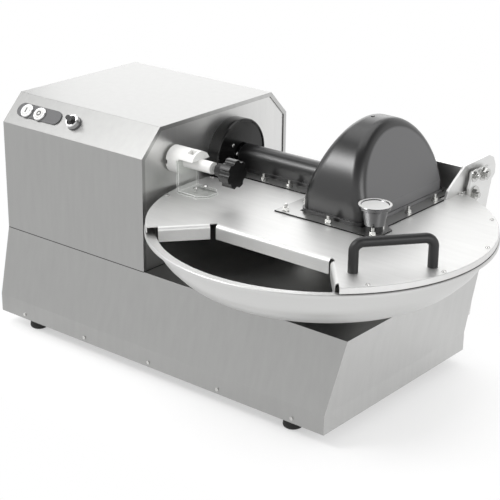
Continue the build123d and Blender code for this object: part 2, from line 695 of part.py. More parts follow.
def lid_plate():
    """Lid sheet: flat disc with a skirt, feed opening, knife slot and hub relief."""
    z0 = LID_UNDER
    t = LID_SHEET
    skirt_z = LID_TOP - LID_SKIRT_H
    outline = [(0, z0), (LID_R - t, z0), (LID_R - t, skirt_z), (LID_R, skirt_z), (LID_R, LID_TOP - 1),
               (LID_R - 1, LID_TOP), (0, LID_TOP)]
    disc = turned(outline, (BOWL_X, BOWL_Y, 0))
    opening = extrude(make_face(Polyline([(x, y, skirt_z - 1) for x, y in feed_outline(0)], close=True)),
                      amount=LID_SKIRT_H + 2, dir=(0, 0, 1))
    knife_slot = block(DOME_X - DOME_HALF, DOME_X + DOME_HALF, SHAFT_Y - DOME_R, SHAFT_Y + DOME_R,
                       z0 - 1, LID_TOP + 1)
    shaft_slot = block(0, DOME_X, SHAFT_Y - TUNNEL_R, SHAFT_Y + TUNNEL_R, skirt_z - 1, LID_TOP + 1)
    relief = block(0, PANEL_FACE + HUB_LEN + 3, SHAFT_Y - HUB_SHIFT - HUB_R - 3, SHAFT_Y + HUB_R,
                   skirt_z - 1, LID_TOP + 1)
    return disc - opening - knife_slot - shaft_slot - relief + lid_lips()


def ring_sector(r0, r1, z0, z1, start, end):
    """Flat ring segment about the bowl axis, from start to end in degrees."""
    outline = make_face(Polyline([(r0, 0, z0), (r1, 0, z0), (r1, 0, z1), (r0, 0, z1)], close=True))
    body = revolve(outline, Axis.Z, revolution_arc=end - start)
    return Pos(BOWL_X, BOWL_Y, 0) * Rot(0, 0, start) * body


def lid_glide_ring():
    """Plastic glide strip under the lid's edge, screwed through from above."""
    first = LID_SCREW_ANGLES[0] - 6
    hub_side = 165.0
    last = LID_SCREW_ANGLES[-1] + 6
    z0 = LID_UNDER - 6
    front = ring_sector(LID_R - 13, LID_R - 3, z0, LID_UNDER, first, hub_side - 20)
    return front + ring_sector(LID_R - 13, LID_R - 3, z0, LID_UNDER, hub_side + 6.5, last)


LID_SCREW_ANGLES = [-39.4 + 26.75 * i for i in range(5)] + [67.6 + 25.7 * i for i in (1, 2, 4, 5)]


def lid_screws():
    """Low rivet heads round the lid's edge."""
    heads = []
    for angle in LID_SCREW_ANGLES:
        x = BOWL_X + (LID_R - 8) * cos(radians(angle))
        y = BOWL_Y + (LID_R - 8) * sin(radians(angle))
        heads.append(turned([(0, 0), (4, 0), (3, 1.8), (0, 2.6)], (x, y, LID_TOP)))
    return joined(heads)


# ---------------------------------------------------------------- covers on the lid
def dome_solid(shrink):
    """Outer (0) or inner (wall thickness) form of the knife cover."""
    r = DOME_R - shrink
    half = DOME_HALF - shrink
    top_half = DOME_TOP_HALF - shrink
    edge = DOME_EDGE_R - shrink
    foot_z = PLATE_TOP - (1 if shrink else 0)
    width = 2 * DOME_HALF + 10
    arch = rod((DOME_X - width / 2, SHAFT_Y, DOME_Z), "X", width, r)
    arch += block(DOME_X - width / 2, DOME_X + width / 2, SHAFT_Y - r, SHAFT_Y + r, foot_z, DOME_Z)
    arch -= block(DOME_X - width, DOME_X + width, SHAFT_Y - 2 * r, SHAFT_Y + 2 * r, DOME_Z - 2 * r, foot_z)
    top = DOME_Z + r
    wedge = [(DOME_X - half, foot_z), (DOME_X + half, foot_z), (DOME_X + half, DOME_Z),
             (DOME_X + top_half, top), (DOME_X - top_half, top), (DOME_X - half, DOME_Z)]
    face = make_face(Polyline([(x, SHAFT_Y - 2 * r, z) for x, z in wedge], close=True))
    body = arch & extrude(face, amount=4 * r, dir=(0, 1, 0))
    rims = [e for e in body.edges() if e.center().Z > DOME_Z + 5 and abs(e.center().X - DOME_X) > 10]
    posts = [e for e in body.edges().filter_by(Axis.Z) if abs(e.center().X - DOME_X) > 10]
    return fillet(rims + posts, edge)


def rounded_block(x0, x1, y0, y1, z0, z1, r):
    body = block(x0, x1, y0, y1, z0, z1)
    return fillet(body.edges().filter_by(Axis.Z), r)


def knife_cover():
    """Black domed cover over the knives, standing on its plinth."""
    step = PLINTH_STEP
    plinth = rounded_block(DOME_X - DOME_HALF - step / 2, DOME_X + DOME_HALF + step / 2, SHAFT_Y - DOME_R - step,
                           SHAFT_Y + DOME_R + step, PLATE_TOP, PLINTH_TOP, DOME_EDGE_R)
    shell = dome_solid(0) + plinth - dome_solid(COVER_T)
    inner = TUNNEL_R - TUNNEL_T
    mouth = rod((DOME_X - 2 * DOME_HALF, SHAFT_Y, SHAFT_Z), "X", 2 * DOME_HALF, inner)
    mouth += block(DOME_X - 2 * DOME_HALF, DOME_X, SHAFT_Y - inner, SHAFT_Y + inner, PLATE_TOP - 1, SHAFT_Z)
    plug = rod((DOME_X - 8, SHAFT_Y - 2, DOME_Z + DOME_R - 1), "Z", 1.8, 3.5)
    return shell - mouth + plug


def tunnel_section(r, foot_z, plane_x):
    """Arch outline of the shaft cover as a face on an X plane."""
    frame = Plane((plane_x, SHAFT_Y, SHAFT_Z), x_dir=(0, 1, 0), z_dir=(1, 0, 0))
    drop = SHAFT_Z - foot_z
    arch = Circle(r) + Pos(0, -drop / 2) * Rectangle(2 * r, drop)
    arch -= Pos(0, -drop - r) * Rectangle(4 * r, 2 * r)
    return frame * arch


TUNNEL_X0 = PANEL_FACE + HUB_LEN + 3
TUNNEL_X1 = DOME_X - DOME_HALF - PLINTH_STEP / 2


def shaft_cover():
    """Black half-round cover over the shaft sleeve, open underneath."""
    length = TUNNEL_X1 - TUNNEL_X0
    cover = extrude(tunnel_section(TUNNEL_R, PLATE_TOP, TUNNEL_X0), amount=length, dir=(1, 0, 0))
    half = TUNNEL_R + TUNNEL_STEP
    cover += block(TUNNEL_X0, TUNNEL_X1, SHAFT_Y - half, SHAFT_Y + half, PLATE_TOP, PLINTH_TOP)
    inner = extrude(tunnel_section(TUNNEL_R - TUNNEL_T, PLATE_TOP - 1, TUNNEL_X0 - 1), amount=length + 2,
                    dir=(1, 0, 0))
    return cover - inner


def cover_base_plate():
    """Polished flange plate under both covers."""
    x0 = TUNNEL_X0
    tab = PLATE_X1 + PLATE_TAB
    y_mid = SHAFT_Y
    outline = [(x0, y_mid - STRIP_HALF), (PLATE_X0, y_mid - STRIP_HALF), (PLATE_X0, PLATE_Y0), (tab, PLATE_Y0),
               (tab, PLATE_TAB_Y), (PLATE_X1, PLATE_TAB_Y + 12), (PLATE_X1, GUSSET_FOOT_Y - 5),
               (PLATE_X1 - 12, GUSSET_FOOT_Y - 5), (PLATE_X1 - 12, PLATE_Y1), (PLATE_X0, PLATE_Y1),
               (PLATE_X0, y_mid + STRIP_HALF), (x0, y_mid + STRIP_HALF)]
    plate = plate_z(outline, LID_TOP, PLATE_TOP)
    plate -= block(DOME_X - DOME_HALF, DOME_X + DOME_HALF, SHAFT_Y - DOME_R, SHAFT_Y + DOME_R,
                   LID_TOP - 1, PLATE_TOP + 1)
    return plate - block(0, DOME_X, SHAFT_Y - TUNNEL_R, SHAFT_Y + TUNNEL_R, LID_TOP - 1, PLATE_TOP + 1)


def stud_places():
    """(x, y) of every cover stud: front row, right column, back row and the strips."""
    right = PLATE_X1 - NUT_INSET
    front = [(PLATE_X0 + 17 + 92 * i, PLATE_Y0 + NUT_INSET) for i in range(3)]
    column = [(right, SHAFT_Y + dy) for dy in (-96.0, -14.0, 71.0)]
    back = [(PLATE_X0 + 17, SHAFT_Y + STRIP_HALF + 50), (PLATE_X0 + 17, PLATE_Y0 + 70)]
    strip = [(x, SHAFT_Y + side * (STRIP_HALF - NUT_INSET)) for x in (PLATE_X0 - 117, PLATE_X0 - 57)
             for side in (-1, 1)]
    return front + column + back + strip


def cover_studs():
    """Threaded studs that stand up through the flange plate."""
    bars = [rod((x, y, PLATE_TOP), "Z", 13, STUD_R) for x, y in stud_places()]
    bars.append(rod((CLAMP_X, CLAMP_Y, PLATE_TOP), "Z", CLAMP_LIFT + CLAMP_H - 9, CLAMP_STUD_R))
    return joined(bars)


def cover_nuts():
    """Hexagon nuts on washers, one on each stud."""
    parts = []
    for x, y in stud_places():
        nut = rod((x, y, PLATE_TOP), "Z", 1.4, WASHER_R) + hexagon((x, y, PLATE_TOP + 1.4), "Z", NUT_H, NUT_R)
        parts.append(nut - rod((x, y, PLATE_TOP - 1), "Z", 12, STUD_R + RUN))
    return joined(parts)


def clamp_bush():
    """Plain bush that lifts the clamp knob off the plate."""
    outline = [(CLAMP_STUD_R + SEAT, 0), (15, 0), (15, CLAMP_LIFT), (CLAMP_STUD_R + SEAT, CLAMP_LIFT)]
    return turned(outline, (CLAMP_X, CLAMP_Y, PLATE_TOP))


def clamp_knob():
    """Chrome knob: tapered stem, two-step head and a dished top."""
    r = CLAMP_HEAD_R
    s = CLAMP_STEM_R
    h = CLAMP_H
    d = CLAMP_DISH_R
    bore = CLAMP_STUD_R + RUN
    outline = [(bore, SEAT / 2), (s - 0.8, SEAT / 2), (s, 1), (s + 5, h - 9), (r - 3.5, h - 8.4), (r - 2.2, h - 7),
               (r - 1.6, h - 4.5), (r - 0.4, h - 2.5), (r, h - 1), (r - 0.8, h), (d + 0.8, h), (d, h - 0.8),
               (d - 0.6, h - 1.6), (0, h - 1.6), (0, h - 8), (bore, h - 8)]
    return turned(outline, (CLAMP_X, CLAMP_Y, PLATE_TOP + CLAMP_LIFT))


def lid_handle():
    """Bridge handle: two legs and a bar, bent from one round section."""
    half = HANDLE_CENTRES / 2
    bend = 15.0
    top = HANDLE_H - HANDLE_R
    path = FilletPolyline((-half, 0, 0), (-half, 0, top), (half, 0, top), (half, 0, 0), radius=bend)
    bar = sweep(Plane((-half, 0, 0), z_dir=(0, 0, 1)) * Circle(HANDLE_R), path=path)
    return Pos(HANDLE_X, HANDLE_Y, LID_TOP) * Rot(0, 0, HANDLE_ANGLE) * bar


# ---------------------------------------------------------------- hinge
GUSSET_FOOT_Y = 378.0


def mirrored_x(x):
    """Mirror an X place about the bowl's middle plane."""
    return 2 * BOWL_X - x


def gusset_outline():
    """Lid arm: foot on the lid, sloped front edge, arm back past the pivot."""
    z = LID_TOP
    tail = GUSSET_TAIL_Y
    return [(GUSSET_FOOT_Y, z), (GUSSET_FOOT_Y + 7, z + 14), (GUSSET_FOOT_Y + 33, z + 31), (440, z + 49),
            (tail - 25, z + 50), (tail - 8, z + 42), (tail, z + 26), (tail, z + 10), (tail - 8, z + 2),
            (tail - 66, z), (tail - 72, z - 12), (tail - 103, z - 12), (tail - 105, z)]


def gusset(side):
    x0 = GUSSET_X - GUSSET_T / 2
    arm = plate_x(gusset_outline(), x0, x0 + GUSSET_T)
    arm -= rod((x0 - 1, PIVOT_Y, PIVOT_Z), "X", GUSSET_T + 2, PIVOT_R + RUN)
    if side < 0:
        arm = mirror(arm, Plane((BOWL_X, 0, 0), z_dir=(1, 0, 0)))
    return arm


def lid_cross_member():
    """Folded stiffener between the two arms at the back of the lid."""
    x0 = mirrored_x(GUSSET_X) + GUSSET_T / 2
    x1 = GUSSET_X - GUSSET_T / 2
    y = 432.0
    z1 = LID_TOP + 48
    return block(x0, x1, y, y + 3, LID_TOP, z1) + block(x0, x1, y, y + 16, z1 - 3, z1)


SUPPORT_X = GUSSET_X + GUSSET_T / 2 + SUPPORT_GAP


# (y, z, radius) of the two clamp bolts beside the pivot
CLAMP_BOLTS = [(BASE_D + 15, PIVOT_Z + 3, 4), (BASE_D + 16.5, PIVOT_Z - 33, 5)]


def hinge_support(side):
    """Side plate that rises from the cabinet's back and carries the pivot."""
    back = BASE_D
    z = PIVOT_Z
    outline = [(back + 8, z + 11), (back - 3, z - 19), (back + 1, BASE_H + 2), (back, 60), (back + 32, 60),
               (back + 52, z - 139), (back + 64, z - 65), (back + 71, z - 38), (back + 77, z - 17),
               (back + 64, z + 11)]
    x0 = SUPPORT_X
    plate = plate_x(outline, x0, x0 + SUPPORT_T)
    plate += block(x0 - 55, x0, back, back + 5, 60, 160)
    for y, z, r in [(PIVOT_Y, PIVOT_Z, PIVOT_R)] + CLAMP_BOLTS:
        plate -= rod((x0 - 1, y, z), "X", SUPPORT_T + 2, r + RUN)
    if side < 0:
        plate = mirror(plate, Plane((BOWL_X, 0, 0), z_dir=(1, 0, 0)))
    return plate


def hinge_bolts(side):
    """Pivot bolt with spacer and lock nut, and the two clamp bolts beside it."""
    x1 = SUPPORT_X + SUPPORT_T
    x_nut = GUSSET_X - GUSSET_T / 2 - 0.5
    pivot = rod((x_nut - 8, PIVOT_Y, PIVOT_Z), "X", x1 - x_nut + 8, PIVOT_R)
    pivot += rod((x1, PIVOT_Y, PIVOT_Z), "X", 2, 14)
    pivot += hexagon((x1 + 2, PIVOT_Y, PIVOT_Z), "X", 7, 11.5) + rod((x1, PIVOT_Y, PIVOT_Z), "X", 11.5, PIVOT_R)
    pivot += hexagon((x_nut - 7, PIVOT_Y, PIVOT_Z), "X", 7, 10.5)
    pivot += rod((GUSSET_X + GUSSET_T / 2 + SEAT, PIVOT_Y, PIVOT_Z), "X", SUPPORT_GAP - SEAT, 10)
    parts = [pivot]
    for y, z, r in CLAMP_BOLTS:
        head = 1.9 * r
        bolt = rod((SUPPORT_X - 4, y, z), "X", SUPPORT_T + 7 + 1.6 * r, r)
        bolt += rod((x1, y, z), "X", 1.5, head + 1.2 * r) + hexagon((x1 + 1.5, y, z), "X", r, head)
        bolt += hexagon((SUPPORT_X - 4, y, z), "X", 4, head)
        parts.append(bolt)
    for z in (85, 135):
        parts.append(hexagon((SUPPORT_X - 40, BASE_D + 5, z), "Y", 6, 8))
    whole = joined(parts)
    if side < 0:
        whole = mirror(whole, Plane((BOWL_X, 0, 0), z_dir=(1, 0, 0)))
    return whole


# ---------------------------------------------------------------- safety interlock
def interlock_bracket():
    """Clear angle: upright with a bored eye, foot with clipped corners."""
    y0 = LOCK_Y + 4 - BRACKET_HALF
    y1 = LOCK_Y + 4 + BRACKET_HALF
    x0 = BRACKET_X
    x1 = x0 + BRACKET_T + BRACKET_FOOT
    z0 = LID_TOP
    upright = block(x0, x0 + BRACKET_T, y0, y1, z0, LOCK_Z + 6)
    corners = [e for e in upright.edges().filter_by(Axis.X) if e.center().Z > LOCK_Z]
    upright = fillet(corners, 10)
    foot_plate = plate_z([(x0, y0), (x1 - 14, y0), (x1, y0 + 14), (x1, y1 - 14), (x1 - 14, y1), (x0, y1)],
                         z0, z0 + BRACKET_T)
    angle = upright + foot_plate
    bend = [e for e in angle.edges().filter_by(Axis.Y)
            if abs(e.center().X - x0) < 0.01 and abs(e.center().Z - z0) < 0.01]
    angle = fillet(bend, 4)
    for x, y in BRACKET_SCREWS:
        angle -= rod((x, y, z0 - 1), "Z", BRACKET_T + 2, 2.5 + SEAT)
    return angle - rod((x0 - 1, LOCK_Y, LOCK_Z), "X", BRACKET_T + 2, LOCK_NOSE_R + SEAT)


# (x, y) of the two screws through the bracket's foot
BRACKET_SCREWS = [(BRACKET_X + 18, LOCK_Y + 8), (BRACKET_X + 24, LOCK_Y + 28)]


def bracket_screws():
    """Pan-head screws that hold the clear bracket on the lid."""
    screws = []
    z = LID_TOP + BRACKET_T
    for x, y in BRACKET_SCREWS:
        screws.append(turned([(0, -BRACKET_T), (2.5, -BRACKET_T), (2.5, 0), (5, 0), (4.6, 1.6), (2, 3), (0, 3)],
                             (x, y, z)))
    return joined(screws)


def interlock_body():
    """White guide: cup towards the housing, slotted over the bracket, with a nose."""
    x0 = LOCK_BODY_X0
    body = rod((x0, LOCK_Y, LOCK_Z), "X", LOCK_BODY_X1 - x0, LOCK_BODY_R)
    wide = 2 * LOCK_BODY_R
    body -= block(BRACKET_X - SEAT, BRACKET_X + BRACKET_T + SEAT, LOCK_Y - wide, LOCK_Y + wide,
                  LOCK_Z - wide, LOCK_Z + 6 + SEAT)
    body -= block(BRACKET_X + BRACKET_T, LOCK_BODY_X1 + 1, LOCK_Y - wide, LOCK_Y + wide,
                  LOCK_Z - wide, LOCK_Z + 9)
    body -= Pos(LOCK_BODY_X1 - 12, LOCK_Y - 8, LOCK_Z + LOCK_BODY_R) * Box(14, 12, 18)
    body -= block(x0 - 1, x0 + 4, LOCK_Y - wide, LOCK_Y, LOCK_Z - 5, LOCK_Z + 3)
    body += rod((BRACKET_X - 1, LOCK_Y, LOCK_Z), "X", LOCK_NOSE_X1 - BRACKET_X + 1, LOCK_NOSE_R)
    return body - rod((x0 - 1, LOCK_Y, LOCK_Z), "X", LOCK_NOSE_X1 - x0 + 2, LOCK_PIN_R + RUN)


def interlock_pin():
    """Locking pin; it draws back out of the cup as the star knob is turned."""
    x0 = LOCK_BODY_X0 + 2
    return rod((x0, LOCK_Y, LOCK_Z), "X", STAR_X0 + STAR_BORE - 1 - x0, LOCK_PIN_R)


STAR_X0 = LOCK_NOSE_X1 + 11.0
STAR_NECK = 22.0
STAR_BORE = 14.0


def star_knob():
    """Lobed knob with an eight-sided neck."""
    neck = Pos(STAR_X0, LOCK_Y, LOCK_Z) * Rot(0, 90, 0) * extrude(RegularPolygon(12.5, 8), STAR_NECK)
    outline = Circle(STAR_R)
    for i in range(STAR_LOBES):
        angle = radians(360 * i / STAR_LOBES)
        outline -= Pos((STAR_R + 3.5) * cos(angle), (STAR_R + 3.5) * sin(angle)) * Circle(7.5)
    head = Pos(STAR_X0 + STAR_NECK, LOCK_Y, LOCK_Z) * Rot(0, 90, 0) * extrude(outline, STAR_T)
    return neck + head - rod((STAR_X0 - 1, LOCK_Y, LOCK_Z), "X", STAR_BORE + 1, LOCK_PIN_R + RUN)


# ---------------------------------------------------------------- operating panel
def control_plate():
    """Dark plate with round ends under the two push buttons."""
    plate = extrude(SlotOverall(PANEL_LEN, PANEL_H), PLATE_THK)
    plate = on_chamfer(PANEL_X, PANEL_S) * plate
    for x in BUTTON_X:
        plate -= on_chamfer(x, BUTTON_S) * Cylinder(BEZEL_R - 3 + SEAT, 30)
    return plate


def bezel(x, s, base, radius, bore, height):
    """Turned bezel with a neck through the sheet."""
    neck = BEZEL_R - 3
    outline = [(bore, -14), (neck, -14), (neck, base), (radius, base), (radius, base + height - 1.5),
               (radius - 1.5, base + height), (bore, base + height)]
    return on_chamfer(x, s) * turned(outline, (0, 0, 0))


def button_bezels():
    return joined([bezel(x, BUTTON_S, PLATE_THK, BEZEL_R, BUTTON_R + LOOSE, BEZEL_H) for x in BUTTON_X])


def push_button(x):
    r = BUTTON_R
    top = PLATE_THK + BEZEL_H + 1
    return on_chamfer(x, BUTTON_S) * turned([(0, -9), (r, -9), (r, top - 0.8), (r - 1.2, top), (0, top)], (0, 0, 0))


def selector_bezel():
    """Tall bezel on its gasket ring."""
    return bezel(SELECTOR_X, SELECTOR_S, GASKET_T, SELECTOR_R - 0.8, SELECTOR_BORE + LOOSE, SELECTOR_H - GASKET_T)


def selector_gasket():
    """Rubber ring between the selector's bezel and the sheet."""
    ring = Cylinder(SELECTOR_R, GASKET_T, align=(Align.CENTER, Align.CENTER, Align.MIN))
    ring -= Cylinder(BEZEL_R - 3 + SEAT, 3 * GASKET_T)
    return on_chamfer(SELECTOR_X, SELECTOR_S) * ring


def selector_knob():
    """Round knob with a raised lever across it."""
    r = SELECTOR_BORE
    top = SELECTOR_H - 1.2
    body = turned([(0, -9), (r, -9), (r, top - 1), (r - 1, top), (0, top)], (0, 0, 0))
    lever = Pos(0, 0, top + 2) * Box(2 * r, 7.5, 14)
    lever = fillet(lever.edges().filter_by(Axis.Z), 3)
    return on_chamfer(SELECTOR_X, SELECTOR_S) * Rot(0, 0, SELECTOR_TURN) * (body + lever)


SELECTOR_BORE = 9.4
GASKET_T = 2.0


def switch_blocks():
    """Contact blocks behind the buttons and the selector."""
    spots = [(x, BUTTON_S) for x in BUTTON_X] + [(SELECTOR_X, SELECTOR_S)]
    return joined([on_chamfer(x, s, -30.5) * Box(26, 26, 32) for x, s in spots])


GLAND_X = 60.0
GLAND_Z = 60.0


def cable_gland():
    """Gland in the cabinet's back wall."""
    nut = hexagon((GLAND_X, BASE_D, GLAND_Z), "Y", 5, 15)
    nut += turned([(5, 0), (12, 0), (12, 8), (8, 12), (5, 12)], (GLAND_X, BASE_D + 5, GLAND_Z), "Y")
    nut += rod((GLAND_X, BASE_D - 8, GLAND_Z), "Y", 8, 10)
    return nut - rod((GLAND_X, BASE_D - 9, GLAND_Z), "Y", 30, 5)


# ---------------------------------------------------------------- assembly
def nodes():
    """Every node of the machine by name, in the bench frame."""
    parts = {
        "base_cabinet": base_cabinet(),
        "base_bottom_plate": base_bottom_plate(),
        "cabinet_screws": cabinet_screws(),
        "rubber_feet": rubber_feet(),
        "housing_cover": housing_cover(),
        "housing_side_panel": housing_side_panel(),
        "hub_collar": hub_collar(),
        "front_bearing": bearing(FRONT_BEARING_X, 34),
        "rear_bearing": bearing(REAR_BEARING_X, 34),
        "bearing_stand": bearing_stand(),
        "shaft_sleeve": shaft_sleeve(),
        "drive_motor": drive_motor(),
        "motor_mount": motor_mount(),
        "drive_belts": drive_belts(),
        "gearbox_case": gearbox_case(),
        "bowl_motor": bowl_motor(),
        "deck_seal": deck_seal(),
        "hinge_support_right": hinge_support(1),
        "hinge_support_left": hinge_support(-1),
        "hinge_bolts_right": hinge_bolts(1),
        "hinge_bolts_left": hinge_bolts(-1),
        "control_plate": control_plate() + selector_gasket(),
        "button_bezels": button_bezels(),
        "selector_bezel": selector_bezel(),
        "switch_blocks": switch_blocks(),
        "cable_gland": cable_gland(),
        "knife_shaft": knife_shaft(),
        "knife_spacers": knife_spacers(),
        "knife_nut": knife_nut(),
        "knife_pulley": pulley(SHAFT_Y, SHAFT_Z, KNIFE_PULLEY_R, SHAFT_R + RUN),
        "motor_rotor": motor_rotor(),
        "bowl": bowl(),
        "bowl_hub": bowl_hub(),
        "bowl_spindle": bowl_spindle(),
        "bowl_nut": bowl_nut(),
        "lid_plate": lid_plate(),
        "lid_glide_ring": lid_glide_ring(),
        "lid_screws": lid_screws(),
        "cover_base_plate": cover_base_plate(),
        "knife_cover": knife_cover(),
        "shaft_cover": shaft_cover(),
        "cover_studs": cover_studs(),
        "cover_nuts": cover_nuts(),
        "clamp_bush": clamp_bush(),
        "clamp_knob": clamp_knob(),
        "lid_handle": lid_handle(),
        "gusset_right": gusset(1),
        "gusset_left": gusset(-1),
        "lid_cross_member": lid_cross_member(),
        "interlock_bracket": interlock_bracket(),
        "bracket_screws": bracket_screws(),
        "interlock_body": interlock_body(),
        "interlock_pin": interlock_pin(),
        "star_knob": star_knob(),
        "selector_knob": selector_knob(),
        "start_button": push_button(BUTTON_X[0]),
        "stop_button": push_button(BUTTON_X[1]),
    }
    for i in range(KNIFE_COUNT):
        parts[f"knife_{i + 1}"] = knife(i)
    return parts


def main():
    os.makedirs("parts", exist_ok=True)
    to_part_frame = Pos(-ORIGIN[0], -ORIGIN[1], -ORIGIN[2])
    for name, solid in nodes().items():
        export_step(to_part_frame * solid, f"parts/{name}.step")


if __name__ == "__main__":
    main()
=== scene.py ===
"""Looks of a table-top bowl cutter: finishes for every piece, small trim, floor, light and camera."""

import math

import bpy
from mathutils import Matrix, Vector


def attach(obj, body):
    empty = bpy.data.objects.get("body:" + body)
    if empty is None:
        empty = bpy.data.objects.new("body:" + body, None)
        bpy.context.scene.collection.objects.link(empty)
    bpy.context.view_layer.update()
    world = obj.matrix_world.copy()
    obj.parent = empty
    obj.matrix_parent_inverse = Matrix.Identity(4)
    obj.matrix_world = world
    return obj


bl_info = {
    "name": "Bowl cutter looks",
    "version": (1, 0, 0),
    "blender": (4, 5, 0),
    "location": "View3D > Sidebar > Bowl cutter",
    "description": "Finishes, trim, stage and camera for a table-top meat bowl cutter",
    "category": "Object",
}

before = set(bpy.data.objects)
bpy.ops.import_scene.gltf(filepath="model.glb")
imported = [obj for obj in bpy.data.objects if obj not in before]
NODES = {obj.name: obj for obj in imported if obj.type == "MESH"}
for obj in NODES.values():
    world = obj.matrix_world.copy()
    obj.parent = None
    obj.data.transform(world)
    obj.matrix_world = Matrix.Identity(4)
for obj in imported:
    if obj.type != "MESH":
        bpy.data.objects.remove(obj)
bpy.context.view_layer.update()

MM = 0.001
# origin of the part frame in the bench frame of the drawings, in millimetres
BENCH = Vector((488.7, 197.2, -25.0))

# drawing sizes that the finishes and the small trim follow, in millimetres
HOUSING_L = 364.8
HOUSING_FRONT = 28.0
HOUSING_BACK = 443.0
DECK = 170.0            # joint between cabinet and housing
CHAMFER_FOOT = 385.0
CHAMFER_RUN = 48.5
CHAMFER_RISE = 49.5
BOWL_AXIS = (672.4, 150.4)
BUTTON_S = 32.5         # up the chamfer
BUTTON_FACE = 7.5       # out of the chamfer
START_X = 47.0
STOP_X = 82.0
SELECTOR_X = 172.0
SELECTOR_S = 33.5
SELECTOR_TURN = math.radians(160)
COLLAR_FACE = HOUSING_L + 24.0

# shapes of the small trim, in millimetres
# the inset is for the dark strip that paints the shadow in the housing joint
JOINT_SHADOW_INSET = 0.3
MARK_SINK = 0.05
COLLAR_SCREWS = {"collar_screw_upper": (252, 364), "collar_screw_lower": (264, 345)}
# distance from the collar's face, radius
SCREW_PROFILE = ((-0.6, 3.5), (0.2, 3.4), (0.9, 2.6), (1.2, 1.2))
# height over the chamfer, half length, half width
GRIP_PROFILE = ((9.6, 10.2, 6.0), (15, 9.8, 5.5), (20.2, 9.2, 4.6), (21, 8.4, 3.8))
GRIP_SQUARENESS = 0.6   # 1 gives an ellipse, 0 a rectangle
GRIP_EASE = 0.6

# half length and half depth of the patch of floor that shows the shadow, and the width of its soft edge, in metres
SHADE_HALF = (0.40, 0.22, 0)
SHADE_EDGE = 0.2
CAMERA_AT = (2029.1, -1711.44, 1155.09)  # in the bench frame
# name, place, aim, width: in metres, in the part frame; each lamp's power is the setting of the same name
SOFT_BOXES = (
    ("key", (-1.9, -1.4, 2.3), (0, 0, 0.25), 1.5),
    ("top", (-0.3, 0.5, 2.6), (0, 0, 0.2), 2.2),
    ("fill", (2.6, -0.6, 1.2), (0, 0, 0.25), 1.4),
    ("strip", (-1.1, -1.7, 2.2), (0.2, 0, 0.4), 0.8),
    ("back", (-1.6, 2.1, 1.4), (0, 0, 0.35), 1.9),
)


# ---------------------------------------------------------------- places
def place(x, y, z):
    """Point of the bench frame, in millimetres, as a point of the part frame."""
    return (Vector((x, y, z)) - BENCH) * MM


def on_chamfer(x, s, n):
    """Point by the front chamfer: x along it, s up its slope, n out of it, in millimetres."""
    tilt = math.atan2(CHAMFER_RISE, CHAMFER_RUN)
    return place(x, HOUSING_FRONT + math.cos(tilt) * s - math.sin(tilt) * n,
                 CHAMFER_FOOT + math.sin(tilt) * s + math.cos(tilt) * n)


def turns(count):
    """Angles of equal steps round a circle."""
    return [i * math.tau / count for i in range(count)]


# ---------------------------------------------------------------- material helpers
def linear(hex_colour):
    """sRGB hex value to a linear colour with alpha 1."""
    parts = [int(hex_colour[i:i + 2], 16) / 255 for i in (1, 3, 5)]
    return [c / 12.92 if c <= 0.04045 else ((c + 0.055) / 1.055) ** 2.4 for c in parts] + [1.0]


def add_node(tree, kind, settings=None, links=None):
    """Add one node; settings go to its properties or sockets, links to its inputs."""
    node = tree.nodes.new(kind)
    for key, value in (settings or {}).items():
        if isinstance(key, str) and hasattr(node, key):
            setattr(node, key, value)
        else:
            node.inputs[key].default_value = value
    for key, source in (links or {}).items():
        tree.links.new(source, node.inputs[key])
    return node


def new_material(name):
    """Empty material and its node tree."""
    material = bpy.data.materials.new(name)
    material.use_nodes = True
    material.node_tree.nodes.clear()
    return material, material.node_tree


def close_material(tree, shader):
    """Send the last shader to the material's surface."""
    add_node(tree, "ShaderNodeOutputMaterial", links={"Surface": shader.outputs[0]})


def stretched_coordinates(tree, scale=(1, 1, 1)):
    """Object coordinates, scaled per axis, so that a noise can run along one direction."""
    coords = add_node(tree, "ShaderNodeTexCoord")
    mapping = add_node(tree, "ShaderNodeMapping", {"Scale": scale}, {"Vector": coords.outputs["Object"]})
    return mapping.outputs["Vector"]


def near_edges(tree, reach):
    """0 on open faces, 1 at the edges, over a reach in millimetres."""
    bevel = add_node(tree, "ShaderNodeBevel", {"samples": 6, "Radius": reach * MM})
    face = add_node(tree, "ShaderNodeNewGeometry")
    same = add_node(tree, "ShaderNodeVectorMath", {"operation": "DOT_PRODUCT"},
                    {0: bevel.outputs["Normal"], 1: face.outputs["Normal"]})
    turned = add_node(tree, "ShaderNodeMapRange", {"From Min": 0.995, "From Max": 0.93},
                      {"Value": same.outputs["Value"]})
    return turned.outputs["Result"]


def facing(tree, axis, low, high):
    """0 on faces turned away from an axis of the piece, 1 on faces square to it, either way round."""
    face = add_node(tree, "ShaderNodeTexCoord")
    parts = add_node(tree, "ShaderNodeSeparateXYZ", links={0: face.outputs["Normal"]})
    size = add_node(tree, "ShaderNodeMath", {"operation": "ABSOLUTE"}, {0: parts.outputs[axis]})
    mask = add_node(tree, "ShaderNodeMapRange", {"From Min": low, "From Max": high}, {"Value": size.outputs[0]})
    return mask.outputs["Result"]


def finish_nodes(names, material):
    """Give pieces of the frame one finish."""
    for name in names:
        slots = NODES[name].data.materials
        slots.clear()
        slots.append(material)


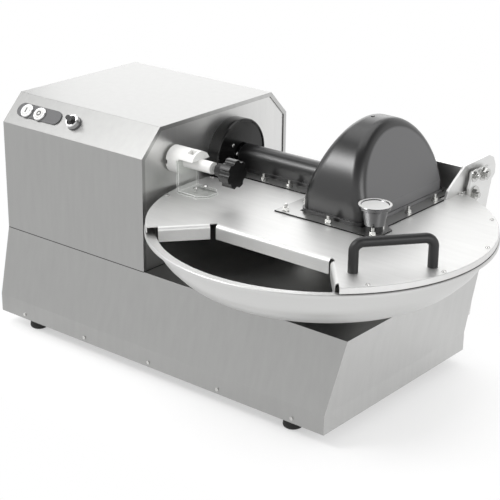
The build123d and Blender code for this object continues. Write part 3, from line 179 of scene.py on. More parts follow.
# ---------------------------------------------------------------- metals
def brushed_sheet(name, tone, roughness, grain, along, depth, lit_end_tone=None):
    """Belt-brushed stainless: fine streaks along one axis over the soft, wide unevenness of rolling.

    grain is the streaks' width and depth their height, in millimetres; the end tone is a paler colour painted on
    faces square to X, as painted light.
    """
    material, tree = new_material(name)
    # streaks sixty times as long as they are wide; real ones are about 0.1 mm wide and are drawn wider to show
    fine = 1 / (grain * MM)
    scale = [fine, fine, fine]
    scale["XYZ".index(along)] = fine / 60
    streaks = add_node(tree, "ShaderNodeTexNoise", {"Scale": 1.0, "Detail": 3.0, "Roughness": 0.6},
                       {"Vector": stretched_coordinates(tree, scale)})
    # rolling marks about 12 mm wide and eight times as long
    wide = 1 / (12 * MM)
    bands = [wide, wide, wide]
    bands["XYZ".index(along)] = wide / 8
    rolling = add_node(tree, "ShaderNodeTexNoise", {"Scale": 1.0, "Detail": 2.0},
                       {"Vector": stretched_coordinates(tree, bands)})
    streak_shade = add_node(tree, "ShaderNodeMapRange", {"To Min": -0.07, "To Max": 0.07},
                            {"Value": streaks.outputs["Fac"]})
    rolling_shade = add_node(tree, "ShaderNodeMapRange", {"To Min": 0.95, "To Max": 1.05},
                             {"Value": rolling.outputs["Fac"]})
    shade = add_node(tree, "ShaderNodeMath", {"operation": "ADD"},
                     {0: streak_shade.outputs["Result"], 1: rolling_shade.outputs["Result"]})
    # faces square to X take the paler end tone: painted light, not a different finish
    base = add_node(tree, "ShaderNodeMix", {"data_type": "RGBA", 6: tone, 7: lit_end_tone or tone},
                    {"Factor": facing(tree, "X", 0.8, 0.95)})
    colour = add_node(tree, "ShaderNodeVectorMath", {"operation": "SCALE"},
                      {0: base.outputs[2], "Scale": shade.outputs[0]})
    rough = add_node(tree, "ShaderNodeMapRange", {"To Min": roughness - 0.06, "To Max": roughness + 0.06},
                     {"Value": streaks.outputs["Fac"]})
    bevel = add_node(tree, "ShaderNodeBevel", {"samples": 4, "Radius": 0.9 * MM})
    bump = add_node(tree, "ShaderNodeBump", {"Strength": 0.25, "Distance": depth * MM},
                    {"Height": streaks.outputs["Fac"], "Normal": bevel.outputs["Normal"]})
    shader = add_node(tree, "ShaderNodeBsdfPrincipled", {"Metallic": 1.0},
                      {"Base Color": colour.outputs[0], "Roughness": rough.outputs["Result"],
                       "Normal": bump.outputs["Normal"]})
    close_material(tree, shader)
    return material


def turned_steel(name, tone, roughness, centre):
    """Spun or lathe-turned stainless: fine rings about an upright axis, so its highlights fan out."""
    material, tree = new_material(name)
    coords = add_node(tree, "ShaderNodeTexCoord")
    moved = add_node(tree, "ShaderNodeVectorMath", {"operation": "SUBTRACT", 1: centre},
                     {0: coords.outputs["Object"]})
    flat = add_node(tree, "ShaderNodeVectorMath", {"operation": "MULTIPLY", 1: (1, 1, 0)},
                    {0: moved.outputs[0]})
    reach = add_node(tree, "ShaderNodeVectorMath", {"operation": "LENGTH"}, {0: flat.outputs[0]})
    height = add_node(tree, "ShaderNodeSeparateXYZ", links={0: moved.outputs[0]})
    rings = add_node(tree, "ShaderNodeCombineXYZ", links={0: reach.outputs["Value"], 1: height.outputs["Z"]})
    # rings about 0.8 mm apart: the real ones are finer and wouldn't show
    noise = add_node(tree, "ShaderNodeTexNoise", {"Scale": 1 / (0.8 * MM), "Detail": 2.0},
                     {"Vector": rings.outputs[0]})
    rough = add_node(tree, "ShaderNodeMapRange", {"To Min": roughness - 0.05, "To Max": roughness + 0.05},
                     {"Value": noise.outputs["Fac"]})
    bump = add_node(tree, "ShaderNodeBump", {"Strength": 0.15, "Distance": 0.03 * MM},
                    {"Height": noise.outputs["Fac"]})
    shader = add_node(tree, "ShaderNodeBsdfPrincipled", {"Metallic": 1.0, "Base Color": tone},
                      {"Roughness": rough.outputs["Result"], "Normal": bump.outputs["Normal"]})
    close_material(tree, shader)
    return material


def ground_metal(name, tone, roughness, grit, shaded_edge_tone=None):
    """Ground or cast metal without a direction: a fine even grain that breaks up its reflections.

    grit is the grain's size in millimetres, drawn coarse enough to show; the edge tone is a dark colour painted on
    upright sides as a painted shadow line.
    """
    material, tree = new_material(name)
    # upright sides take the edge tone: a painted shadow line round the plate
    base = add_node(tree, "ShaderNodeMix", {"data_type": "RGBA", 6: shaded_edge_tone or tone, 7: tone},
                    {"Factor": facing(tree, "Z", 0.3, 0.8)})
    bevel = add_node(tree, "ShaderNodeBevel", {"samples": 4, "Radius": 0.4 * MM})
    noise = add_node(tree, "ShaderNodeTexNoise", {"Scale": 1 / (grit * MM), "Detail": 4.0},
                     {"Vector": stretched_coordinates(tree)})
    bump = add_node(tree, "ShaderNodeBump", {"Strength": 0.3, "Distance": 0.1 * grit * MM},
                    {"Height": noise.outputs["Fac"], "Normal": bevel.outputs["Normal"]})
    rough = add_node(tree, "ShaderNodeMapRange", {"To Min": roughness - 0.05, "To Max": roughness + 0.08},
                     {"Value": noise.outputs["Fac"]})
    shader = add_node(tree, "ShaderNodeBsdfPrincipled", {"Metallic": 1.0},
                      {"Base Color": base.outputs[2], "Roughness": rough.outputs["Result"],
                       "Normal": bump.outputs["Normal"]})
    close_material(tree, shader)
    return material


def bright_metal(name, tone, roughness):
    """Plated or polished metal: smooth, with softened edges that catch the light."""
    material, tree = new_material(name)
    bevel = add_node(tree, "ShaderNodeBevel", {"samples": 4, "Radius": 0.4 * MM})
    shader = add_node(tree, "ShaderNodeBsdfPrincipled",
                      {"Metallic": 1.0, "Base Color": tone, "Roughness": roughness},
                      {"Normal": bevel.outputs["Normal"]})
    close_material(tree, shader)
    return material


def capped_chrome(name, tone, shaded_side_tone, side_roughness, cap_roughness):
    """Chrome plate, mirror-bright round the sides and spun dull on the faces that look up; the sides are painted a
    darker grey as a painted dark reflection.
    """
    material, tree = new_material(name)
    cap = facing(tree, "Z", 0.9, 0.97)
    # sides take the darker side tone: a painted dark reflection
    base = add_node(tree, "ShaderNodeMix", {"data_type": "RGBA", 6: shaded_side_tone, 7: tone}, {"Factor": cap})
    rough = add_node(tree, "ShaderNodeMapRange", {"To Min": side_roughness, "To Max": cap_roughness},
                     {"Value": cap})
    bevel = add_node(tree, "ShaderNodeBevel", {"samples": 4, "Radius": 0.4 * MM})
    shader = add_node(tree, "ShaderNodeBsdfPrincipled", {"Metallic": 1.0},
                      {"Base Color": base.outputs[2], "Roughness": rough.outputs["Result"],
                       "Normal": bevel.outputs["Normal"]})
    close_material(tree, shader)
    return material


# ---------------------------------------------------------------- plastics, rubber, paint
def moulded(name, tone, roughness, grain, ior=1.5, coat=0.0):
    """Moulded plastic, rubber or paint: a fine even skin; grain is its texture in millimetres."""
    material, tree = new_material(name)
    noise = add_node(tree, "ShaderNodeTexNoise", {"Scale": 1 / (grain * MM), "Detail": 3.0},
                     {"Vector": stretched_coordinates(tree)})
    bevel = add_node(tree, "ShaderNodeBevel", {"samples": 4, "Radius": 0.6 * MM})
    bump = add_node(tree, "ShaderNodeBump", {"Strength": 0.12, "Distance": 0.05 * grain * MM},
                    {"Height": noise.outputs["Fac"], "Normal": bevel.outputs["Normal"]})
    rough = add_node(tree, "ShaderNodeMapRange", {"To Min": roughness - 0.03, "To Max": roughness + 0.04},
                     {"Value": noise.outputs["Fac"]})
    shader = add_node(tree, "ShaderNodeBsdfPrincipled", {"Base Color": tone, "IOR": ior, "Coat Weight": coat},
                      {"Roughness": rough.outputs["Result"], "Normal": bump.outputs["Normal"]})
    close_material(tree, shader)
    return material


def gloss_plastic(name, tone, roughness, ior):
    """High-gloss moulded plastic: dark body under a smooth, strongly mirroring skin."""
    material, tree = new_material(name)
    # long, shallow moulding waves, about 60 mm
    noise = add_node(tree, "ShaderNodeTexNoise", {"Scale": 1 / (60 * MM), "Detail": 1.0},
                     {"Vector": stretched_coordinates(tree)})
    bevel = add_node(tree, "ShaderNodeBevel", {"samples": 4, "Radius": 0.8 * MM})
    bump = add_node(tree, "ShaderNodeBump", {"Strength": 0.1, "Distance": 0.3 * MM},
                    {"Height": noise.outputs["Fac"], "Normal": bevel.outputs["Normal"]})
    rough = add_node(tree, "ShaderNodeMapRange", {"To Min": roughness - 0.02, "To Max": roughness + 0.02},
                     {"Value": noise.outputs["Fac"]})
    shader = add_node(tree, "ShaderNodeBsdfPrincipled", {"Base Color": tone, "IOR": ior},
                      {"Roughness": rough.outputs["Result"], "Normal": bump.outputs["Normal"]})
    close_material(tree, shader)
    return material


def formed_cover(name, tone, flat_sheen_tone, roughness, ior):
    """Black sheet drawn over a mould: grained, rougher flats painted a lighter grey as a painted sheen, glossier
    where it was stretched round.
    """
    material, tree = new_material(name)
    flat = facing(tree, "X", 0.9, 0.985)
    # the flat faces get a lighter grey: a painted sheen standing in for the light they reflect
    base = add_node(tree, "ShaderNodeMix", {"data_type": "RGBA", 6: tone, 7: flat_sheen_tone}, {"Factor": flat})
    # leather-like grain of the sheet, about 0.5 mm
    grain = add_node(tree, "ShaderNodeTexNoise", {"Scale": 1 / (0.5 * MM), "Detail": 2.0},
                     {"Vector": stretched_coordinates(tree)})
    bevel = add_node(tree, "ShaderNodeBevel", {"samples": 4, "Radius": 1.6 * MM})
    bump = add_node(tree, "ShaderNodeBump", {"Strength": 0.1, "Distance": 0.02 * MM},
                    {"Height": grain.outputs["Fac"], "Normal": bevel.outputs["Normal"]})
    rough = add_node(tree, "ShaderNodeMapRange", {"To Min": roughness, "To Max": roughness + 0.2},
                     {"Value": flat})
    shader = add_node(tree, "ShaderNodeBsdfPrincipled", {"IOR": ior},
                      {"Base Color": base.outputs[2], "Roughness": rough.outputs["Result"],
                       "Normal": bump.outputs["Normal"]})
    close_material(tree, shader)
    return material


def clear_sheet(name):
    """Clear sheet: see-through, mirroring at a flat angle, with light gathered in its sawn edges."""
    material, tree = new_material(name)
    clear = add_node(tree, "ShaderNodeBsdfTransparent", {"Color": linear("#fafbfa")})
    gloss = add_node(tree, "ShaderNodeBsdfGlossy", {"Color": linear("#fbfbfb"), "Roughness": 0.05})
    bounce = add_node(tree, "ShaderNodeFresnel", {"IOR": 1.58})
    face = add_node(tree, "ShaderNodeNewGeometry")
    # only outer faces mirror, as a back face would turn all light round inside the sheet
    front = add_node(tree, "ShaderNodeMath", {"operation": "SUBTRACT", 0: 1.0},
                     {1: face.outputs["Backfacing"]})
    mirror = add_node(tree, "ShaderNodeMath", {"operation": "MULTIPLY"},
                      {0: bounce.outputs[0], 1: front.outputs[0]})
    skin = add_node(tree, "ShaderNodeMixShader",
                    links={0: mirror.outputs[0], 1: clear.outputs[0], 2: gloss.outputs[0]})
    glow = add_node(tree, "ShaderNodeBsdfDiffuse", {"Color": linear("#f6f7f6")})
    share = add_node(tree, "ShaderNodeMapRange", {"To Min": 0.07, "To Max": 0.8},
                     {"Value": near_edges(tree, 2.0)})
    body = add_node(tree, "ShaderNodeMixShader",
                    links={0: share.outputs["Result"], 1: skin.outputs[0], 2: glow.outputs[0]})
    close_material(tree, body)
    return material


# ---------------------------------------------------------------- settings
class BowlCutterTones(bpy.types.PropertyGroup):
    """Colours and surface values a user would change."""

    steel: bpy.props.FloatVectorProperty(
        name="Sheet steel", description="Colour of the brushed stainless sheet",
        subtype="COLOR", size=4, min=0, max=1, default=linear("#a3a3a2"))
    steel_roughness: bpy.props.FloatProperty(
        name="Sheet roughness", description="Roughness of the brushed sheet",
        subtype="FACTOR", min=0.05, max=0.9, default=0.32)
    lid: bpy.props.FloatVectorProperty(
        name="Lid steel", description="Colour of the lid's brushed sheet",
        subtype="COLOR", size=4, min=0, max=1, default=linear("#dfdfde"))
    bowl: bpy.props.FloatVectorProperty(
        name="Bowl steel", description="Colour of the spun bowl",
        subtype="COLOR", size=4, min=0, max=1, default=linear("#cececd"))
    cover: bpy.props.FloatVectorProperty(
        name="Covers", description="Colour of the black knife and shaft covers",
        subtype="COLOR", size=4, min=0, max=1, default=linear("#0a0a0b"))
    # the flats' colour is a painted sheen: a lighter grey standing in for reflected light
    cover_flat_sheen: bpy.props.FloatVectorProperty(
        name="Cover flats", description="Colour of the dull flat faces of the covers",
        subtype="COLOR", size=4, min=0, max=1, default=linear("#69696a"))


class BowlCutterTrim(bpy.types.PropertyGroup):
    """Sizes of the small trim."""

    # the bead set here is a dark strip that paints the shadow line of the housing joint
    joint_shadow_height: bpy.props.FloatProperty(
        name="Seal height", description="Height of the bead between cabinet and housing",
        subtype="DISTANCE", unit="LENGTH", precision=5, min=0.5 * MM, max=4 * MM, default=1.5 * MM)
    joint_shadow_proud: bpy.props.FloatProperty(
        name="Seal proud", description="How far the bead stands out of the sheet",
        subtype="DISTANCE", unit="LENGTH", precision=5, min=0, max=1 * MM, default=0.15 * MM)
    mark_height: bpy.props.FloatProperty(
        name="Mark height", description="How far the buttons' marks stand out of their faces",
        subtype="DISTANCE", unit="LENGTH", precision=5, min=0.05 * MM, max=1 * MM, default=0.25 * MM)
    bar_length: bpy.props.FloatProperty(
        name="Bar length", description="Length of the start button's bar",
        subtype="DISTANCE", unit="LENGTH", precision=5, min=2 * MM, max=14 * MM, default=10 * MM)
    bar_width: bpy.props.FloatProperty(
        name="Bar width", description="Width of the start button's bar",
        subtype="DISTANCE", unit="LENGTH", precision=5, min=0.5 * MM, max=5 * MM, default=2.2 * MM)
    ring_inner: bpy.props.FloatProperty(
        name="Ring hole", description="Inner radius of the stop button's ring",
        subtype="DISTANCE", unit="LENGTH", precision=5, min=0.5 * MM, max=4.5 * MM, default=3.1 * MM)
    ring_outer: bpy.props.FloatProperty(
        name="Ring", description="Outer radius of the stop button's ring",
        subtype="DISTANCE", unit="LENGTH", precision=5, min=4.6 * MM, max=8 * MM, default=5.2 * MM)


class BowlCutterStage(bpy.types.PropertyGroup):
    """Camera and lamps."""

    azimuth: bpy.props.FloatProperty(
        name="Azimuth", description="Camera's bearing, from the front towards the right end",
        subtype="ANGLE", unit="ROTATION", default=math.radians(39.13))
    elevation: bpy.props.FloatProperty(
        name="Elevation", description="Camera's height above the horizon",
        subtype="ANGLE", unit="ROTATION", default=math.radians(21.37))
    roll: bpy.props.FloatProperty(
        name="Roll", description="Camera's turn about its own axis",
        subtype="ANGLE", unit="ROTATION", default=math.radians(0.67))
    lens: bpy.props.FloatProperty(
        name="Lens", description="Focal length for a 36 mm sensor",
        unit="CAMERA", min=20, max=300, default=102.4)
    key: bpy.props.FloatProperty(
        name="Key lamp", description="Power of the main soft box",
        unit="POWER", min=0, max=500, default=13)
    top: bpy.props.FloatProperty(
        name="Top lamp", description="Power of the overhead soft box",
        unit="POWER", min=0, max=500, default=22)
    fill: bpy.props.FloatProperty(
        name="Fill lamp", description="Power of the soft box at the right end",
        unit="POWER", min=0, max=500, default=16)
    strip: bpy.props.FloatProperty(
        name="Strip lamp", description="Power of the small soft box in front",
        unit="POWER", min=0, max=500, default=24)
    back: bpy.props.FloatProperty(
        name="Back lamp", description="Power of the soft box behind",
        unit="POWER", min=0, max=500, default=12)


# ---------------------------------------------------------------- operators: finishes
class OBJECT_OT_cabinet_finish(bpy.types.Operator):
    """Brushed stainless on the cabinet, the housing and its side panel"""

    bl_idname = "object.cabinet_finish"
    bl_label = "Cabinet finish"

    def execute(self, context):
        tones = context.scene.bowl_cutter_tones
        # stainless sheet, belt-brushed upright: a satin sheen in fine streaks, painted paler on the end faces as
        # painted light
        steel = brushed_sheet("brushed_stainless_cabinet", list(tones.steel), tones.steel_roughness,
                              0.4, "Z", 0.04, linear("#c0c0bf"))
        finish_nodes(["housing_cover", "base_cabinet", "base_bottom_plate"], steel)
        # the same sheet with the same streaks, painted brighter: a lit copy that paints light on the end panel
        side = brushed_sheet("brushed_stainless_end_panel", linear("#dededd"), tones.steel_roughness,
                             0.4, "Z", 0.04)
        finish_nodes(["housing_side_panel"], side)
        return {"FINISHED"}


class OBJECT_OT_lid_finish(bpy.types.Operator):
    """Brushed lid sheet, hinge plates and the polished flange plate"""

    bl_idname = "object.lid_finish"
    bl_label = "Lid finish"

    def execute(self, context):
        tones = context.scene.bowl_cutter_tones
        # stainless sheet brushed from side to side and worn by hands: bright and soft, with no clear mirror
        lid = brushed_sheet("brushed_stainless_lid", list(tones.lid), 0.5, 0.5, "X", 0.03)
        finish_nodes(["lid_plate"], lid)
        # laser-cut stainless plate, brushed from front to back: bright satin faces
        arms = brushed_sheet("brushed_stainless_arms", linear("#dcdcdb"), 0.36, 0.5, "Y", 0.03)
        finish_nodes(["gusset_right", "gusset_left", "hinge_support_right", "hinge_support_left",
                      "lid_cross_member"], arms)
        # polished stainless plate: blurred reflections inside a dark outline, painted on its upright edges as a
        # painted shadow
        polished = ground_metal("polished_stainless", linear("#b8b8b7"), 0.3, 0.4, linear("#1c1c1c"))
        finish_nodes(["cover_base_plate"], polished)
        return {"FINISHED"}


class OBJECT_OT_fastener_finish(bpy.types.Operator):
    """Bright studs, nuts, bolts and screws"""

    bl_idname = "object.fastener_finish"
    bl_label = "Fastener finish"

    def execute(self, context):
        # cold-headed stainless: small bright glints
        bright = bright_metal("bright_stainless_fasteners", linear("#c4c4c2"), 0.18)
        finish_nodes(["cover_studs", "cover_nuts", "lid_screws", "cabinet_screws", "bowl_nut",
                      "bracket_screws", "hinge_bolts_right", "hinge_bolts_left"], bright)
        return {"FINISHED"}


class OBJECT_OT_bowl_finish(bpy.types.Operator):
    """Spun stainless on the bowl"""

    bl_idname = "object.bowl_finish"
    bl_label = "Bowl finish"

    def execute(self, context):
        tones = context.scene.bowl_cutter_tones
        # stainless sheet spun over a former: a wide soft highlight that fans out from the centre
        spun = turned_steel("spun_stainless_bowl", list(tones.bowl), 0.42, place(*BOWL_AXIS, 0))
        finish_nodes(["bowl"], spun)
        return {"FINISHED"}


class OBJECT_OT_knife_finish(bpy.types.Operator):
    """Ground steel on the shafts and blades"""

    bl_idname = "object.knife_finish"
    bl_label = "Knife finish"

    def execute(self, context):
        # turned and ground steel: grey, with a blurred shine
        ground = ground_metal("ground_steel", linear("#a4a4a6"), 0.3, 0.6)
        finish_nodes(["knife_shaft", "knife_spacers", "knife_nut", "shaft_sleeve", "bowl_spindle",
                      "bowl_hub", "motor_mount"], ground)
        # hardened blade steel, finely ground: bright and cool
        blade = ground_metal("ground_blade_steel", linear("#cfcfd0"), 0.2, 0.5)
        finish_nodes(["knife_1", "knife_2", "knife_3"], blade)
        return {"FINISHED"}


class OBJECT_OT_drive_finish(bpy.types.Operator):
    """Paint, castings and rubber of the drive and the feet"""

    bl_idname = "object.drive_finish"
    bl_label = "Drive finish"

    def execute(self, context):
        # sprayed enamel: blue-grey with a faint orange-peel sheen
        paint = moulded("semi_gloss_motor_enamel", linear("#4a5964"), 0.4, 1.2, 1.5, 0.1)
        finish_nodes(["drive_motor", "bowl_motor", "bearing_stand"], paint)
        # cast iron, machined: dark and dull grey
        iron = ground_metal("machined_cast_iron", linear("#6a6a6a"), 0.45, 0.9)
        finish_nodes(["front_bearing", "rear_bearing", "knife_pulley", "motor_rotor"], iron)
        # sand-cast aluminium: pale, with a coarse matt skin
        cast = ground_metal("sand_cast_aluminium", linear("#a2a2a2"), 0.5, 1.5)
        finish_nodes(["gearbox_case"], cast)
        # vulcanised rubber: nearly black and almost without shine
        rubber = moulded("vulcanised_rubber", linear("#141414"), 0.7, 0.8)
        finish_nodes(["drive_belts", "rubber_feet"], rubber)
        return {"FINISHED"}


class OBJECT_OT_cover_finish(bpy.types.Operator):
    """Black knife cover, shaft cover and hub collar"""

    bl_idname = "object.cover_finish"
    bl_label = "Cover finish"

    def execute(self, context):
        tones = context.scene.bowl_cutter_tones
        # ABS sheet, vacuum-formed: black bends with soft highlights, flats painted a lighter grey as a painted
        # sheen
        cover = formed_cover("formed_abs_black", list(tones.cover), list(tones.cover_flat_sheen), 0.29, 1.68)
        finish_nodes(["knife_cover", "shaft_cover"], cover)
        # ABS from a polished mould: deep black with a clear mirror
        collar = gloss_plastic("moulded_glossy_abs_black", linear("#060606"), 0.16, 1.48)
        finish_nodes(["hub_collar"], collar)
        return {"FINISHED"}


class OBJECT_OT_handle_finish(bpy.types.Operator):
    """Knobs, lid handle and small black mouldings"""

    bl_idname = "object.handle_finish"
    bl_label = "Handle finish"

    def execute(self, context):
        # phenolic resin, pressed in a polished mould: black, hard and glossy
        knob = gloss_plastic("moulded_phenolic_black", linear("#070707"), 0.24, 1.5)
        finish_nodes(["star_knob", "selector_knob"], knob)
        # glass-filled polyamide from a textured mould: dark grey, matt
        matt = moulded("moulded_polyamide_black", linear("#151516"), 0.42, 0.6)
        finish_nodes(["lid_handle", "switch_blocks", "cable_gland", "deck_seal", "clamp_bush"], matt)
        # chromed steel: mirroring sides painted darker as a painted dark reflection, under a cap that was spun
        # dull and pale
        capped = capped_chrome("spun_chrome_knob", linear("#f2f2f1"), linear("#808081"), 0.09, 0.6)
        finish_nodes(["clamp_knob"], capped)
        return {"FINISHED"}


class OBJECT_OT_panel_finish(bpy.types.Operator):
    """Control plate, bezels and push buttons"""

    bl_idname = "object.panel_finish"
    bl_label = "Control panel finish"

    def execute(self, context):
        # aluminium plate, anodised dark and sealed: grey, with a weak even sheen like a hard paint
        panel = moulded("satin_anodised_panel_dark", linear("#585859"), 0.4, 0.5)
        finish_nodes(["control_plate"], panel)
        # chrome plate on polished brass: a near mirror
        chrome = bright_metal("bright_chrome_plate", linear("#dcdcdc"), 0.07)
        finish_nodes(["button_bezels", "selector_bezel", "interlock_pin"], chrome)
        # polycarbonate from a smooth mould: pale, with a soft shine
        start = moulded("moulded_button_pale", linear("#d0d1cf"), 0.3, 0.5)
        finish_nodes(["start_button"], start)
        stop = moulded("moulded_button_pale_grey", linear("#cdcdcb"), 0.3, 0.5)
        finish_nodes(["stop_button"], stop)
        return {"FINISHED"}


class OBJECT_OT_interlock_finish(bpy.types.Operator):
    """White interlock body and glide ring, clear bracket"""

    bl_idname = "object.interlock_finish"
    bl_label = "Interlock finish"

    def execute(self, context):
        # acetal, machined from bar: white and slightly waxy
        white = moulded("machined_acetal_white", linear("#dfdfdd"), 0.38, 0.6, 1.48)
        finish_nodes(["interlock_body", "lid_glide_ring"], white)
        # polycarbonate sheet, sawn: clear, with bright edges
        finish_nodes(["interlock_bracket"], clear_sheet("clear_polycarbonate"))
        return {"FINISHED"}


# ---------------------------------------------------------------- operators: trim
def trim_piece(name, skin, material, body, ease=0.0):
    """Piece from a skin's points and faces, on a body; ease rounds its edges, in millimetres."""
    verts, faces = skin
    mesh = bpy.data.meshes.new(name)
    mesh.from_pydata([tuple(v) for v in verts], [], faces)
    mesh.materials.append(material)
    piece = bpy.data.objects.new(name, mesh)
    bpy.context.scene.collection.objects.link(piece)
    if ease:
        rounding = piece.modifiers.new("eased_edges", "BEVEL")
        rounding.width = ease * MM
        rounding.segments = 3
        rounding.limit_method = "ANGLE"
    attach(piece, body)
    return piece


def skin_through(rings, closed=False):
    """Verts and faces through rings of equal point count.

    A closed skin joins its last ring to the first, and an open one is capped at both ends.
    """
    count = len(rings[0])
    verts = [point for ring in rings for point in ring]
    faces = [] if closed else [tuple(reversed(range(count)))]
    for i in range(len(rings) if closed else len(rings) - 1):
        low = i * count
        high = (i + 1) % len(rings) * count
        faces += [(low + j, low + (j + 1) % count, high + (j + 1) % count, high + j) for j in range(count)]
    if not closed:
        faces.append(tuple(range(len(verts) - count, len(verts))))
    return verts, faces


class OBJECT_OT_housing_joint_shadow(bpy.types.Operator):
    """Dark strip in the joint between cabinet and housing: a painted shadow line where the joint is in shade."""

    bl_idname = "object.housing_seal"
    bl_label = "Housing seal"

    def execute(self, context):
        trim = context.scene.bowl_cutter_trim
        # dull dark strip in the joint: painted shadow, standing in for the shade in the gap
        joint_shadow = moulded("moulded_seal_black", linear("#1d1d1d"), 0.6, 0.8)
        proud = trim.joint_shadow_proud / MM
        low = DECK - trim.joint_shadow_height / MM / 2
        high = DECK + trim.joint_shadow_height / MM / 2
        inset = JOINT_SHADOW_INSET
        corners = [(inset, HOUSING_FRONT), (HOUSING_L, HOUSING_FRONT),
                   (HOUSING_L, HOUSING_BACK), (inset, HOUSING_BACK)]
        outward = [(0, -proud), (proud, -proud), (proud, proud), (0, proud)]
        inward = [(inset, inset), (-inset, inset), (-inset, -inset), (inset, -inset)]
        rings = []
        for (x, y), (ox, oy), (ix, iy) in zip(corners, outward, inward):
            rings.append([place(x + ox, y + oy, low), place(x + ox, y + oy, high),
                          place(x + ix, y + iy, high), place(x + ix, y + iy, low)])
        trim_piece("housing_seal_bead", skin_through(rings, closed=True), joint_shadow, "machine")
        return {"FINISHED"}


class OBJECT_OT_button_marks(bpy.types.Operator):
    """Bar on the start button and ring on the stop button"""

    bl_idname = "object.button_marks"
    bl_label = "Button marks"

    def execute(self, context):
        trim = context.scene.bowl_cutter_trim
        # pad-printed ink: flat dark grey
        ink = moulded("printed_mark_dark", linear("#2a2a2b"), 0.5, 0.5)
        low = BUTTON_FACE - MARK_SINK
        high = BUTTON_FACE + trim.mark_height / MM

        half_width = trim.bar_width / MM / 2
        half_length = trim.bar_length / MM / 2
        bar = [(-half_width, -half_length), (half_width, -half_length),
               (half_width, half_length), (-half_width, half_length)]
        rings = [[on_chamfer(START_X + x, BUTTON_S + s, n) for x, s in bar] for n in (low, high)]
        trim_piece("start_mark", skin_through(rings), ink, "start")

        inner = trim.ring_inner / MM
        outer = trim.ring_outer / MM
        section = ((inner, low), (inner, high), (outer, high), (outer, low))
        rings = [[on_chamfer(STOP_X + r * math.cos(a), BUTTON_S + r * math.sin(a), n) for r, n in section]
                 for a in turns(40)]
        trim_piece("stop_mark", skin_through(rings, closed=True), ink, "stop")
        return {"FINISHED"}


class OBJECT_OT_collar_screws(bpy.types.Operator):
    """Domed heads of the two screws in the hub collar's face"""

    bl_idname = "object.collar_screws"
    bl_label = "Collar screws"

    def execute(self, context):
        bright = bpy.data.materials["bright_stainless_fasteners"]
        for name, (y, z) in COLLAR_SCREWS.items():
            rings = [[place(COLLAR_FACE + x, y + r * math.cos(a), z + r * math.sin(a)) for a in turns(20)]
                     for x, r in SCREW_PROFILE]
            trim_piece(name, skin_through(rings), bright, "machine")
        return {"FINISHED"}


class OBJECT_OT_selector_grip(bpy.types.Operator):
    """Raised grip across the selector"""

    bl_idname = "object.selector_grip"
    bl_label = "Selector grip"

    def execute(self, context):
        black = bpy.data.materials["moulded_phenolic_black"]
        across = (math.cos(SELECTOR_TURN), math.sin(SELECTOR_TURN))
        rings = []
        for n, half_length, half_width in GRIP_PROFILE:
            ring = []
            for a in turns(32):
                u = half_length * math.copysign(abs(math.cos(a)) ** GRIP_SQUARENESS, math.cos(a))
                v = half_width * math.copysign(abs(math.sin(a)) ** GRIP_SQUARENESS, math.sin(a))
                ring.append(on_chamfer(SELECTOR_X + u * across[0] - v * across[1],
                                       SELECTOR_S + u * across[1] + v * across[0], n))
            rings.append(ring)
        grip = trim_piece("selector_grip", skin_through(rings), black, "selector", GRIP_EASE)
        for face in grip.data.polygons:
            face.use_smooth = len(face.vertices) == 4
        return {"FINISHED"}


# ---------------------------------------------------------------- operators: stage
def soft_box(name, where, aim, width, power):
    """Square area lamp aimed at a point."""
    data = bpy.data.lights.new(name, "AREA")
    data.size = width
    data.energy = power
    lamp = bpy.data.objects.new(name, data)
    bpy.context.scene.collection.objects.link(lamp)
    lamp.location = where
    lamp.rotation_euler = (Vector(aim) - Vector(where)).to_track_quat("-Z", "Y").to_euler()


def studio_floor(name):
    """Pale painted floor that keeps the shadow near the machine and runs out into plain white."""
    material, tree = new_material(name)
    coords = add_node(tree, "ShaderNodeTexCoord")
    # distance from the machine's outline, folded into one quarter
    folded = add_node(tree, "ShaderNodeVectorMath", {"operation": "ABSOLUTE"}, {0: coords.outputs["Object"]})
    past = add_node(tree, "ShaderNodeVectorMath", {"operation": "SUBTRACT", 1: SHADE_HALF},
                    {0: folded.outputs[0]})
    outside = add_node(tree, "ShaderNodeVectorMath", {"operation": "MAXIMUM", 1: (0, 0, 0)},
                       {0: past.outputs[0]})
    reach = add_node(tree, "ShaderNodeVectorMath", {"operation": "LENGTH"}, {0: outside.outputs[0]})
    far = add_node(tree, "ShaderNodeMapRange",
                   {"From Min": 0.0, "From Max": SHADE_EDGE, "To Min": 0.45, "To Max": 1.0},
                   {"Value": reach.outputs["Value"]})
    paint = add_node(tree, "ShaderNodeBsdfDiffuse", {"Color": linear("#fbfbfb")})
    white = add_node(tree, "ShaderNodeEmission", {"Color": linear("#ffffff"), "Strength": 1.0})
    mix = add_node(tree, "ShaderNodeMixShader",
                   links={0: far.outputs[0], 1: paint.outputs[0], 2: white.outputs[0]})
    close_material(tree, mix)
    return material


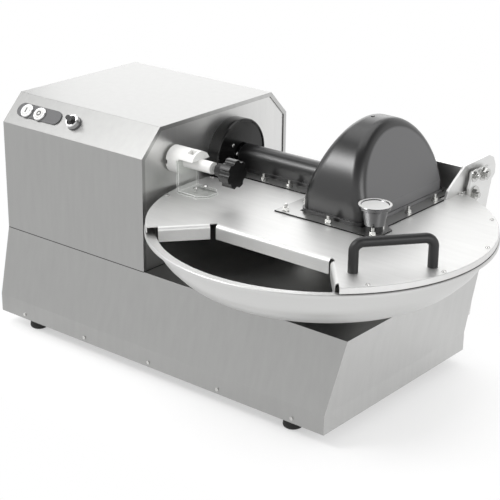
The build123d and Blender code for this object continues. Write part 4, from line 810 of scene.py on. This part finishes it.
def studio_world(name):
    """Surroundings: even light on the object, and white walls under a darker ceiling where they are seen."""
    world = bpy.data.worlds.new(name)
    world.use_nodes = True
    tree = world.node_tree
    tree.nodes.clear()
    light = add_node(tree, "ShaderNodeBackground", {"Color": linear("#ffffff"), "Strength": 0.85})
    coords = add_node(tree, "ShaderNodeTexCoord")
    height = add_node(tree, "ShaderNodeSeparateXYZ", links={0: coords.outputs["Generated"]})
    ceiling = add_node(tree, "ShaderNodeMapRange",
                       {"From Min": 0.45, "From Max": 0.8, "To Min": 1.0, "To Max": 0.25},
                       {"Value": height.outputs["Z"]})
    walls = add_node(tree, "ShaderNodeBackground", {"Color": linear("#ffffff")},
                     {"Strength": ceiling.outputs[0]})
    path = add_node(tree, "ShaderNodeLightPath")
    direct = add_node(tree, "ShaderNodeMath", {"operation": "MAXIMUM"},
                      {0: path.outputs["Is Camera Ray"], 1: path.outputs["Is Glossy Ray"]})
    seen = add_node(tree, "ShaderNodeMath", {"operation": "MAXIMUM"},
                    {0: direct.outputs[0], 1: path.outputs["Is Transmission Ray"]})
    mix = add_node(tree, "ShaderNodeMixShader",
                   links={0: seen.outputs[0], 1: light.outputs[0], 2: walls.outputs[0]})
    add_node(tree, "ShaderNodeOutputWorld", links={"Surface": mix.outputs[0]})
    return world


def add_camera(stage):
    """Camera at its place, turned to the stage's angles."""
    data = bpy.data.cameras.new("camera")
    data.lens = stage.lens
    data.sensor_width = 36
    camera = bpy.data.objects.new("camera", data)
    bpy.context.scene.collection.objects.link(camera)
    az = stage.azimuth
    el = stage.elevation
    back = Vector((math.sin(az) * math.cos(el), -math.cos(az) * math.cos(el), math.sin(el)))
    right = Vector((math.cos(az), math.sin(az), 0))
    up = back.cross(right)
    turn = Matrix((right, up, back)).transposed().to_4x4() @ Matrix.Rotation(stage.roll, 4, "Z")
    camera.matrix_world = Matrix.Translation(place(*CAMERA_AT)) @ turn
    return camera


class OBJECT_OT_bowl_cutter_stage(bpy.types.Operator):
    """Pale floor, white surroundings, five soft boxes and the camera"""

    bl_idname = "object.bowl_cutter_stage"
    bl_label = "Stage"

    def execute(self, context):
        stage = context.scene.bowl_cutter_stage
        bpy.ops.mesh.primitive_plane_add(size=30, location=(0, 0, -0.0005))
        floor = context.active_object
        floor.name = "floor"
        floor.data.materials.append(studio_floor("pale_studio_floor"))
        context.scene.world = studio_world("studio")
        for name, where, aim, width in SOFT_BOXES:
            soft_box(name + "_soft_box", where, aim, width, getattr(stage, name))
        context.scene.camera = add_camera(stage)
        context.scene.view_settings.view_transform = "Standard"
        return {"FINISHED"}


# ---------------------------------------------------------------- registration
OPERATORS = [
    OBJECT_OT_cabinet_finish,
    OBJECT_OT_lid_finish,
    OBJECT_OT_fastener_finish,
    OBJECT_OT_bowl_finish,
    OBJECT_OT_knife_finish,
    OBJECT_OT_drive_finish,
    OBJECT_OT_cover_finish,
    OBJECT_OT_handle_finish,
    OBJECT_OT_panel_finish,
    OBJECT_OT_interlock_finish,
    OBJECT_OT_housing_joint_shadow,
    OBJECT_OT_button_marks,
    OBJECT_OT_collar_screws,
    OBJECT_OT_selector_grip,
    OBJECT_OT_bowl_cutter_stage,
]


class VIEW3D_PT_bowl_cutter(bpy.types.Panel):
    """Sidebar list of the settings and the makers"""

    bl_idname = "VIEW3D_PT_bowl_cutter"
    bl_label = "Bowl cutter"
    bl_space_type = "VIEW_3D"
    bl_region_type = "UI"
    bl_category = "Bowl cutter"

    def draw(self, context):
        layout = self.layout
        scene = context.scene
        for group in (scene.bowl_cutter_tones, scene.bowl_cutter_trim, scene.bowl_cutter_stage):
            for name in group.bl_rna.properties.keys():
                if name not in ("rna_type", "name"):
                    layout.prop(group, name)
        for operator in OPERATORS:
            layout.operator(operator.bl_idname)


CLASSES = [BowlCutterTones, BowlCutterTrim, BowlCutterStage, *OPERATORS, VIEW3D_PT_bowl_cutter]


def register():
    for cls in CLASSES:
        bpy.utils.register_class(cls)
    bpy.types.Scene.bowl_cutter_tones = bpy.props.PointerProperty(type=BowlCutterTones)
    bpy.types.Scene.bowl_cutter_trim = bpy.props.PointerProperty(type=BowlCutterTrim)
    bpy.types.Scene.bowl_cutter_stage = bpy.props.PointerProperty(type=BowlCutterStage)


def unregister():
    del bpy.types.Scene.bowl_cutter_stage
    del bpy.types.Scene.bowl_cutter_trim
    del bpy.types.Scene.bowl_cutter_tones
    for cls in reversed(CLASSES):
        bpy.utils.unregister_class(cls)


def main():
    """Dress the frame's pieces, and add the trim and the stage."""
    register()
    for operator in OPERATORS:
        group, name = operator.bl_idname.split(".")
        getattr(getattr(bpy.ops, group), name)()


if __name__ == "__main__":
    main()
